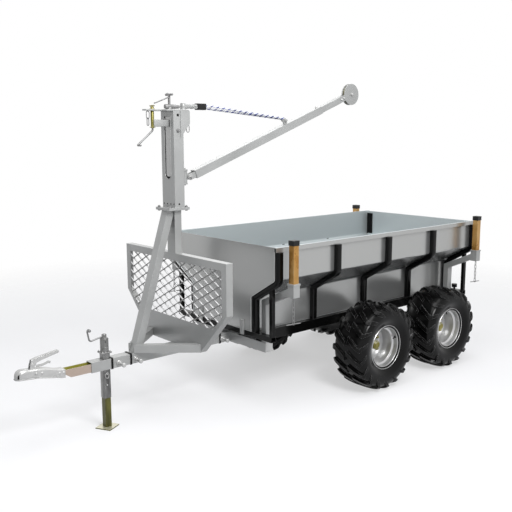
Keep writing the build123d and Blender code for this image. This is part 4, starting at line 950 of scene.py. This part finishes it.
# Drawbar: coupling head, lever, jack and screws. Outlines are (x, z) pairs seen from the right
HEAD_STATIONS = (
    # x, half width, floor height, top height, corner radius
    (2180, 30.8, 306, 354, 3), (2200, 30.8, 308, 356, 4), (2222, 30.8, 314, 358, 4),
    (2262, 30.8, 326, 372, 4), (2300, 30.8, 333, 381, 5), (2335, 29.5, 339, 388, 7),
    (2362, 27.5, 344, 390, 10), (2385, 28.5, 346, 393, 15), (2405, 31, 347, 397, 20),
    (2425, 31, 347, 396, 22), (2438, 27, 347, 390, 20), (2447, 19, 348, 379, 14),
    (2451, 10, 350, 366, 7),
)
HEAD_RINGS = 45
LIP_POINTS = 21
LIP_NOSE_X = 2418
LIP_SIDE_Y = 32.5
LIP_REAR = ((2330, 339.5), (2240, 321))
RIVETS = ((2345, 366), (2312, 362), (2212, 338), (2188, 336))
RIVET_FORM = ((0, 8), (2.5, 7.5), (4.0, 5), (4.6, 2))
EARS = ((2342, 385), (2372, 389), (2366, 418), (2352, 424), (2344, 418))
BLADE = (
    (2344, 396), (2332, 420), (2300, 430), (2204, 450), (2206, 462), (2338, 442), (2362, 436), (2368, 398))
LEVER_SPINE = ((2361, 0, 437), (2338, 0, 444), (2206, 0, 464))
LATCH = ((2330, 0, 398), (2290, 0, 399), (2262, 0, 408), (2250, 0, 402))
BALL_OPENING = ((2426, 374), (2434, 380), (2444, 372), (2446, 354), (2428, 356))


def coupling_shape():
    """The pressed head: round-cornered sections of changing width and height from rear to front."""
    kernel = np.array([0.25, 0.5, 0.25])
    smooth = [
        np.concatenate([c[:1], np.convolve(c, kernel, "valid"), c[-1:]])
        for c in between(HEAD_STATIONS, HEAD_RINGS)]
    rings = []
    for x, half, low, high, radius in zip(*smooth):
        radius = min(radius, half * 0.9, (high - low) * 0.45)
        flat = rounded(rectangle(-half, half, low, high), [2.0, 2.0, radius, radius], 7, wrap=True)
        rings.append(stood_across(x, flat))
    return skin(np.array(rings))


def coupling_lip():
    """The turned-out flange round the lower edge of the head: a flat bar carried round its front."""
    turn = np.linspace(-0.5 * np.pi, 0.5 * np.pi, LIP_POINTS)
    nose = np.stack([LIP_NOSE_X + 33.5 * np.cos(turn), 34 * np.sin(turn), np.full(LIP_POINTS, 347.0)], -1)
    left = [(x, LIP_SIDE_Y, z) for x, z in LIP_REAR]
    right = [(x, -LIP_SIDE_Y, z) for x, z in reversed(LIP_REAR)]
    path = np.concatenate([np.array(right), nose, np.array(left)])
    return sweep(path, box_section(7.0, 4.0, 1.6, 3))


def head_shapes():
    """The head with its lip, its rivets on both sides and the two ears that hold the lever."""
    shapes = [coupling_shape(), coupling_lip()]
    for x, z in RIVETS:
        for across in (1, -1):
            shapes.append(turned((x, across * 29, z), (0, across, 0), RIVET_FORM, 16))
    ears = rounded(EARS, 4, 4, wrap=True)
    for y in (-9.0, 13.0):
        shapes.append(side_plate(ears, y, 4.0, 0.8))
    return shapes


def lever_shapes():
    """Two blades with a spine over them, the grip's and the pivot's pins, and the latch."""
    blade = rounded(BLADE, 5, 4, wrap=True)
    shapes = [side_plate(blade, y, 3.0, 0.6) for y in (-5.0, 11.0)]
    shapes.append(sweep(rounded(LEVER_SPINE, 10, 5), box_section(19, 3, 1.2, 3)))
    shapes.append(pin((2208, -13, 457), (2208, 13, 457), 5.5))
    shapes.append(pin((2354, -16, 411), (2354, 16, 411), 5))
    shapes.append(sweep(rounded(LATCH, 8, 5), box_section(14, 3, 1.2, 3), (0, 1, 0)))
    return shapes


def build_coupling():
    """Head, lever and latch of the ball coupling, and black plates on its openings as painted shade."""
    piece("coupling_head_made", "chassis", "zinc_bright", head_shapes(), replaces=["coupling_head"])
    # Painted shade: a black plate on the side of the head where the ball's opening is, and a black disc on
    # its top.
    opening_shade = rounded(BALL_OPENING, 4, 5, wrap=True)
    piece("coupling_opening_painted_shade", "chassis", "black_paint", [
        side_plate(opening_shade, 27.2, 2.5, 0.6), pin((2362, 0, 389), (2362, 0, 391.5), 6)])
    piece("coupling_lever_made", "chassis", "zinc_bright", lever_shapes(), replaces=["coupling_lever"])


JACK_X = 1922.0
JACK_CRANK = ((10, 0, 486), (92, 0, 470), (104, 0, 534), (104, 14, 541))
JACK_KNOB = ((0, 5), (2, 8.5), (10, 9.5), (20, 8.5), (24, 5))
# Rings of the case: outer side or bore, and height
JACK_CASE = (("bore", 384.0), ("bore", 124.0), ("outer", 124.0), ("outer", 391.0))
JACK_HEAD = (
    # height over the flange, radius
    (0, 24), (30, 24), (31, 24.8), (34, 24.8), (35, 24), (82, 24), (86, 22), (88, 18), (89, 15), (93, 14),
    (106, 14), (109, 12), (110, 8))
JACK_FLANGE_Z = 390
FLANGE_HALF = 31.5
FLANGE_SCREW = 25
# Height of each cross pin and how far it reaches to the left
JACK_PINS = ((270, 34), (205, 31))


def jack_case():
    """The square outer leg with its bore, the round stepped head over it and the flange between."""
    sections = {"outer": box_section(45, 45, 5, 5), "bore": box_section(38.6, 38.6, 3, 5)}
    rings = []
    for side, z in JACK_CASE:
        ring = sections[side]
        rings.append(np.column_stack([JACK_X + ring[:, 0], ring[:, 1], np.full(len(ring), z)]))
    flange = box_section(2 * FLANGE_HALF, 2 * FLANGE_HALF, 5, 5)
    return [
        skin(np.array(rings)), turned((JACK_X, 0, JACK_FLANGE_Z), (0, 0, 1), JACK_HEAD, 48),
        level_plate(flange, JACK_FLANGE_Z, 6, x=JACK_X)]


def jack_pins():
    """The two cross pins, the upper one's ring, and the flange's four screws."""
    place = JACK_X + 6
    shapes = [pin((place, -26, z), (place, reach, z), 4.5) for z, reach in JACK_PINS]
    turn = np.linspace(0, 2 * np.pi, 25)[:-1]
    ring = np.stack([place + 11 * np.cos(turn), np.full(24, 32.0), 262 + 17 * np.sin(turn)], -1)
    shapes.append(sweep(ring, circle(1.6, 8), (0, 1, 0), wrap=True))
    for dx in (-FLANGE_SCREW, FLANGE_SCREW):
        for dy in (-FLANGE_SCREW, FLANGE_SCREW):
            shapes.append(bolt((JACK_X + dx, dy, 396), (0, 0, 1), 4.5, 3.5))
    return shapes


def build_jack():
    """The jack's crank, its case with the head, its pins with a ring, its screws, and a black disc as
    painted shade in its sight hole.
    """
    crank = rounded([(JACK_X + x, y, z) for x, y, z in JACK_CRANK], [0, 14, 6, 0], 8)
    knob = turned((JACK_X + 104, 12, 541), (0, 1, 0), JACK_KNOB, 20)
    piece("jack_crank_made", "chassis", "zinc_bright", [sweep(crank, circle(4.6, 14), (0, 1, 0)), knob],
          replaces=["jack_crank"], material=FINISHES["worn"])
    piece("jack_outer_made", "chassis", "silver", jack_case(), replaces=["jack_outer"],
          material=FINISHES["jack"])
    piece("jack_details", "chassis", "zinc_bright", jack_pins())
    # Painted shade: a thin black disc on the case where the sight hole is.
    sight_hole_shade = pin((JACK_X + 4, 23.2, 458), (JACK_X + 4, 24.6, 458), 3.5, 0.3)
    piece("jack_sight_hole_painted_shade", "chassis", "black_paint", [sight_hole_shade])


BEAM_HALF = 32
BEAM_Z = 325
BANDS = (1892.0, 1768.0, 1112.0)
CLAMP_SCREWS = (1847.0, 1735.0, 1092.0)
CLAMP_SCREW_Z = 319
CLAMP_SCREW_FORM = (
    # distance from the beam, radius
    (0, 18), (4, 18), (6, 15), (20, 11), (22, 9.5), (42, 9.5), (44, 12), (47, 13), (58, 13), (62, 10))


def build_clamps():
    """Bands round the beam with their corners rounded, and the cone-seated screws beside them."""
    low = BEAM_Z - BEAM_HALF
    high = BEAM_Z + BEAM_HALF
    bands = []
    for x in BANDS:
        flat = rounded(rectangle(-BEAM_HALF, BEAM_HALF, low, high), 4, 5, wrap=True)
        bands.append(sweep(stood_across(x, flat), box_section(4.0, 12, 1.2, 3), (1, 0, 0), wrap=True))
    piece("beam_bands_made", "chassis", "black_paint", bands, replaces=["beam_clamps"])
    screws = [turned((x, 30.2, CLAMP_SCREW_Z), (0, 1, 0), CLAMP_SCREW_FORM, 28) for x in CLAMP_SCREWS]
    piece("clamp_screws", "chassis", "zinc_bright", screws)


# Mast and its head
MAST_FLANGE_X = 1433
MAST_FLANGE_BOLT = 58
MAST_FACE_X = 1459.0
MAST_SIDE_Y = 65
MAST_TOP = 1752
SLOT_HALF = 32
SLOT_FOOT = 1390
SLOT_TOP = 1722
INNER_TUBE = (-27, 27, 1372, 1722)
MAST_HOLE_YS = (-50, -16, 20, 52)
MAST_HOLE_Z = 1212


def mast_bolts():
    """Bolts with their nuts at the flange's corners, and one bolt through the head on each side."""
    shapes = []
    for x in (MAST_FLANGE_X - MAST_FLANGE_BOLT, MAST_FLANGE_X + MAST_FLANGE_BOLT):
        for y in (-MAST_FLANGE_BOLT, MAST_FLANGE_BOLT):
            shapes.append(bolt((x, y, 1192), (0, 0, 1), 8, 6))
            shapes.append(hexagon((x, y, 1176), (0, 0, -1), 8, 6))
    for across in (1, -1):
        shapes.append(bolt((1428, across * MAST_SIDE_Y, 1640), (0, across, 0), 10, 7))
    return shapes


def slot_shapes():
    """The inner tube's face behind the slot, and a bright bead along the edge of the slot with its round
    foot, a painted highlight.
    """
    turn = np.linspace(np.pi, 2 * np.pi, 17)
    foot = np.stack([
        np.full(17, MAST_FACE_X), SLOT_HALF * np.cos(turn), SLOT_FOOT + SLOT_HALF * np.sin(turn)], -1)
    edge = np.concatenate([
        [(MAST_FACE_X, -SLOT_HALF, SLOT_TOP)], foot, [(MAST_FACE_X, SLOT_HALF, SLOT_TOP)]])
    face = rounded(rectangle(*INNER_TUBE), [20, 20, 2, 2], 6, wrap=True)
    return [slab(face, (1451, 0, 0), (0, 1, 0), (0, 0, 1), 4, 1.0), sweep(edge, circle(1.8, 8), (1, 0, 0))]


def build_mast_details():
    """Bolts of the mast, black discs as painted shade where its holes are, and the inner tube that
    shows in the slot, with a bright bead along the slot's edge as a painted highlight.
    """
    piece("mast_bolts", "chassis", "zinc_bright", mast_bolts(), material=FINISHES["worn"])
    piece("mast_inner_tube_and_slot_highlight", "chassis", "zinc_bright", slot_shapes())
    # Painted shade: thin black discs on the mast where its holes are.
    dark = [pin((1428, 64.6, 1728), (1428, 65.5, 1728), 8.5, 0.3)]
    for y in MAST_HOLE_YS:
        dark.append(pin((1458.6, y, MAST_HOLE_Z), (1459.5, y, MAST_HOLE_Z), 5, 0.3))
    dark.append(pin((1430, 64.6, MAST_HOLE_Z), (1430, 65.5, MAST_HOLE_Z), 6, 0.3))
    piece("mast_hole_painted_shades", "chassis", "black_paint", dark)


T_BOLT_X = 1442
T_BOLT_HOOK = ((1758, 0), (1841, 0), (1850, -14), (1846, -30))
TIE_ROD = ((1442, 8, 1834), (1500, 8, 1812), (1550, 8, 1794))
TOP_PLATE = (1345, 1506, -65, 65)
REAR_EYE = (1303, 1350, -7, 7)
T_BOLT_COLLAR = ((0, 19), (6, 19), (8, 15), (16, 13), (18, 9))
TAPERED_TUBE = ((0, 10), (2, 13), (8, 14), (60, 13), (98, 10), (102, 8))


def build_mast_head():
    """Top plate, T-bolt with its cross bar, slanted tie rod and the tapered tube behind the bolt."""
    plates = [
        level_plate(rounded(rectangle(*TOP_PLATE), [20, 5, 5, 20], 6, wrap=True), MAST_TOP, 8),
        level_plate(rounded(rectangle(*REAR_EYE), 5, 4, wrap=True), MAST_TOP, 8),
        pin((1345, 0, MAST_TOP), (1345, 0, MAST_TOP + 8), 24)]
    piece("mast_top_made", "chassis", "silver", plates, replaces=["mast_top_plate"])
    hook = rounded([(T_BOLT_X, y, z) for z, y in T_BOLT_HOOK], [0, 8, 8, 0], 6)
    rods = [
        sweep(hook, circle(7.5, 14), (1, 0, 0)),
        turned((T_BOLT_X, 0, 1759), (0, 0, 1), T_BOLT_COLLAR, 28),
        sweep(rounded(TIE_ROD, 30, 5), circle(3.6, 10), (0, 1, 0)),
        pin((T_BOLT_X, -34, 1846), (T_BOLT_X, 34, 1846), 6.5),
        turned((1474, 0, 1778), (-1, 0, 0), TAPERED_TUBE, 28)]
    piece("mast_top_rods", "chassis", "silver", rods, material=FINISHES["worn"])


PIN_X = 1560.0
PIN_BRACKET = (1504, 1616, -24, 24)
PIN_ARM_XS = (1459, 1490, 1530, 1560)
PIN_ARM_Z = 1682
PIN_FORM = ((0, 8.5), (2, 10), (119, 10), (122, 8))
WINDING_ROD = ((0, 0, 1656), (0, 0, 1640), (104, 0, 1556), (104, 36, 1556))


def build_pins():
    """The front bracket with its upright pin and split pin, and the winding crank bent from one rod."""
    bracket = [
        level_plate(rounded(rectangle(*PIN_BRACKET), [3, 10, 10, 3], 6, wrap=True), MAST_TOP, 8),
        sweep([(x, 0, PIN_ARM_Z) for x in PIN_ARM_XS], box_section(36, 40, 3, 4))]
    piece("front_bracket_made", "chassis", "silver", bracket, replaces=["front_pin_bracket"])
    upright = [
        turned((PIN_X, 0, 1654), (0, 0, 1), PIN_FORM, 28),
        pin((PIN_X, 0, 1760), (PIN_X, 0, 1764), 17, 0.8, 28),
        pin((PIN_X, 0, 1657), (PIN_X, 0, 1661), 17, 0.8, 28),
        pin((PIN_X, -22, 1780), (PIN_X, 22, 1780), 4), pin((PIN_X, 0, 1770), (PIN_X, 0, 1784), 6)]
    piece("front_pin_made", "chassis", "yellow_zinc", upright)
    rod = rounded([(PIN_X + x, y, z) for x, y, z in WINDING_ROD], [0, 12, 8, 0], 8)
    piece("winding_crank_made", "chassis", "silver", [sweep(rod, circle(5.4, 14), (1, 0, 1))],
          replaces=["winding_crank"], material=FINISHES["worn"])


SWIVEL_X = 1345
SWIVEL_Z = 1782
SNOUT = (
    # x, half width, half height
    (1356, 14, 12), (1350, 17, 15), (1330, 16, 15), (1296, 12, 12), (1262, 10, 10), (1250, 10, 10))
SNOUT_RINGS = 26
SNOUT_POINTS = 28
SWIVEL_HUB = ((0, 20), (3, 20), (5, 17), (38, 16), (40, 13))
SWIVEL_EAR = ((1248, 1770), (1284, 1768), (1290, 1782), (1284, 1796), (1248, 1794))
ROPE_BLOCK_XS = (1187, 1192, 1243, 1247)


def snout_shape():
    """The arm of the swivel: sections between a round and a square one, (cosine, sine) to the power
    0.6 with their signs kept, of changing width and height."""
    x, half, high = between(SNOUT, SNOUT_RINGS)
    turn = np.linspace(0, 2 * np.pi, SNOUT_POINTS, endpoint=False)
    wide = np.sign(np.cos(turn)) * np.abs(np.cos(turn)) ** 0.6
    tall = np.sign(np.sin(turn)) * np.abs(np.sin(turn)) ** 0.6
    along = np.broadcast_to(x[:, None], (SNOUT_RINGS, SNOUT_POINTS))
    return skin(np.stack([along, half[:, None] * wide, SWIVEL_Z + high[:, None] * tall], -1))


def build_top_swivel():
    """The swivel over the mast: hub, tapered arm, clevis with its pin, and the dark rope block."""
    shapes = [
        snout_shape(), turned((SWIVEL_X, 0, 1760.3), (0, 0, 1), SWIVEL_HUB, 28),
        pin((1278, -19, SWIVEL_Z), (1278, 19, SWIVEL_Z), 6), bolt((1262, 12, 1784), (0, 1, 0), 6, 5)]
    ear = rounded(SWIVEL_EAR, 4, 4, wrap=True)
    for y in (-9.0, 14.0):
        shapes.append(side_plate(ear, y, 5.0, 0.8))
    piece("top_swivel_made", "slew", "silver", shapes, replaces=["top_swivel"])
    block = sweep([(x, 0, SWIVEL_Z) for x in ROPE_BLOCK_XS], box_section(38, 38, 5, 5))
    piece("rope_block_made", "slew", "black_plastic", [block], replaces=["rope_block"])


HEAD_PIN_ALONG = 1530
HEAD_HALF = 15.6
LOCK_BOLT_ALONG = 1170
HEAD_SMALL_BOLTS = (1418, 1446)


def build_boom_details():
    """Washers on the boom's foot pin, bolts of the eye and the slide's lock, bolts of the head."""
    washers = [pin(on_boom(0, 0, across * 20.2), on_boom(0, 0, across * 24), 13, 0.8) for across in (1, -1)]
    piece("boom_washers", "boom", "zinc_bright", washers)
    up = (math.sin(BOOM_ANGLE), 0, math.cos(BOOM_ANGLE))
    bolts = [bolt(on_boom(LOCK_BOLT_ALONG, 25, 0), up, 8, 7)]
    for across in (1, -1):
        bolts.append(bolt(on_boom(EYE_ALONG, EYE_RISE, across * 20), (0, across, 0), 7, 6))
    piece("boom_bolts", "boom", "zinc_bright", bolts)
    head = [
        bolt(on_boom(HEAD_PIN_ALONG, 0, across * HEAD_HALF), (0, across, 0), 11, 8) for across in (1, -1)]
    for along in HEAD_SMALL_BOLTS:
        head.append(bolt(on_boom(along, 0, HEAD_HALF), (0, 1, 0), 6.5, 5))
    piece("head_bolts", "extension", "zinc_bright", head)


TAILGATE_HALF = ((293.5, 420.5), (293.5, 643.7), (505.5, 770.7), (505.5, 965.5))
TAILGATE_X = -948
BEAD_YS = (-450.0, -150.0, 150.0, 450.0)


def build_tailgate():
    """The tailgate: a sheet in the stepped outline of the tub, with a round bead along its top."""
    outline = list(TAILGATE_HALF) + [(-y, z) for y, z in reversed(TAILGATE_HALF)]
    gate = rounded(outline, [3, 14, 20, 3, 3, 20, 14, 3], 5, wrap=True)
    bead = [(TAILGATE_X - 0.5, y, 962.0) for y in BEAD_YS]
    piece("tailgate_made", "tailgate", "tub_sheet", [
        slab(gate, (TAILGATE_X, 0, 0), (0, 1, 0), (0, 0, 1), 4.0, 0.8), sweep(bead, circle(3.4, 12))],
        replaces=["tailgate"])


BUNK_END_Y = -379.5
BUNK_END_HALF = 29
SHEET_EDGE_X = 1079.0
SHEET_EDGE = ((301, 422), (301, 640), (513, 767), (513, 940))


def build_edges():
    """Plates on the ends of the bunk tubes, and a bright bead on the cut edge of the tub's side sheets,
    a painted highlight.
    """
    h = BUNK_END_HALF
    caps = []
    for x in STAKE_XS:
        square = rounded(rectangle(x - h, x + h, BEAM_Z - h, BEAM_Z + h), 4, 4, wrap=True)
        cap = side_plate(square, BUNK_END_Y, 3.0, 0.8)
        caps += [mirrored(cap), cap]
    piece("bunk_end_plates", "chassis", "zinc_bright", caps)
    # Painted highlight: a round bead in the brighter zinc laid along the front edge of each side sheet.
    line = rounded(SHEET_EDGE, [0, 19, 15, 0], 7)
    edges = []
    for across in (1, -1):
        edges.append(sweep(stood_across(SHEET_EDGE_X, line, across), circle(2.2, 8), (1, 0, 0)))
    piece("sheet_edge_highlights", "chassis", "zinc_bright", edges)


build_wheels()
build_ribs()
build_edges()
build_tailgate()
build_chains()
build_headboard_mesh()
build_stay_rope()
build_coupling()
build_jack()
build_clamps()
build_mast_details()
build_mast_head()
build_pins()
build_top_swivel()
build_boom_details()

# Studio: white surroundings, a white floor that fades out before its edge, and four large lamps
FLOOR_HALF = 12.0
FLOOR_FADE = (2.4, 5.5)
FLOOR_GLOW = 0.52
FLOOR_GREY = (0.40, 0.40, 0.41, 1.0)
FLOOR_ROUGH = 0.9
FLOOR_SHINE = 0.1
WORLD_LIGHT = (0.40, 0.41, 0.43)
LAMPS = (
    # name, place, looks at, size, watts
    ("mast_lamp", (0.9, 3.4, 3.6), (0.6, 0.0, 1.2), 1.6, 150.0),
    ("tub_lamp", (-0.5, 0.8, 4.4), (-0.5, -0.25, 0.6), 3.0, 40.0),
    ("top_lamp", (1.2, 0.6, 5.2), (0.9, 0.0, 0.4), 3.0, 75.0),
    ("back_lamp", (-3.0, -5.0, 4.5), (0.0, 0.0, 0.5), 3.0, 50.0),
)


def camera_or_mirror(tree):
    """A mask that is 1 for the camera and for all that is seen in reflections or through glass."""
    path = tree.nodes.new("ShaderNodeLightPath")
    seen = math_node(tree, "MAXIMUM", path.outputs["Is Camera Ray"], path.outputs["Is Glossy Ray"])
    return math_node(tree, "MAXIMUM", seen, path.outputs["Is Transmission Ray"])


def studio_world():
    """White to the camera and in reflections, a softer grey as the light that fills the shadows."""
    world = bpy.data.worlds.new("studio")
    bpy.context.scene.world = world
    world.use_nodes = True
    tree = world.node_tree
    colour = blend_colours(tree, camera_or_mirror(tree), WORLD_LIGHT, (1.0, 1.0, 1.0))
    tree.links.new(colour, tree.nodes["Background"].inputs["Color"])


def studio_floor():
    """A flat white sheet on the ground that keeps the shadow and fades out far from the trailer."""
    corners = [(x * FLOOR_HALF, y * FLOOR_HALF, 0.0) for x, y in ((-1, -1), (1, -1), (1, 1), (-1, 1))]
    mesh = bpy.data.meshes.new("studio_floor")
    mesh.from_pydata(corners, [], [(0, 1, 2, 3)])
    floor = put("studio_floor", mesh)
    material = bpy.data.materials.new("floor_white")
    material.use_nodes = True
    tree = material.node_tree
    shader = tree.nodes["Principled BSDF"]
    seen = camera_or_mirror(tree)
    shader.inputs["Base Color"].default_value = FLOOR_GREY
    shader.inputs["Emission Color"].default_value = (1.0, 1.0, 1.0, 1.0)
    tree.links.new(math_node(tree, "MULTIPLY", seen, FLOOR_GLOW), shader.inputs["Emission Strength"])
    shader.inputs["Roughness"].default_value = FLOOR_ROUGH
    shader.inputs["Specular IOR Level"].default_value = FLOOR_SHINE
    distance = vector_node(tree, "LENGTH", object_place(tree), output="Value")
    clear = tree.nodes.new("ShaderNodeBsdfTransparent")
    mix = tree.nodes.new("ShaderNodeMixShader")
    tree.links.new(ramp_node(tree, distance, *FLOOR_FADE), mix.inputs["Fac"])
    tree.links.new(shader.outputs[0], mix.inputs[1])
    tree.links.new(clear.outputs[0], mix.inputs[2])
    tree.links.new(mix.outputs[0], tree.nodes["Material Output"].inputs["Surface"])
    mesh.materials.append(material)


def studio_lamps():
    """Square area lamps, each turned to the place it looks at."""
    for name, place, target, size, watts in LAMPS:
        data = bpy.data.lights.new(name, "AREA")
        data.shape = "SQUARE"
        data.size = size
        data.energy = watts
        lamp = put(name, data)
        lamp.location = place
        lamp.rotation_euler = (Vector(target) - Vector(place)).to_track_quat("-Z", "Y").to_euler()


studio_world()
studio_floor()
studio_lamps()
bpy.context.scene.view_settings.view_transform = "Standard"
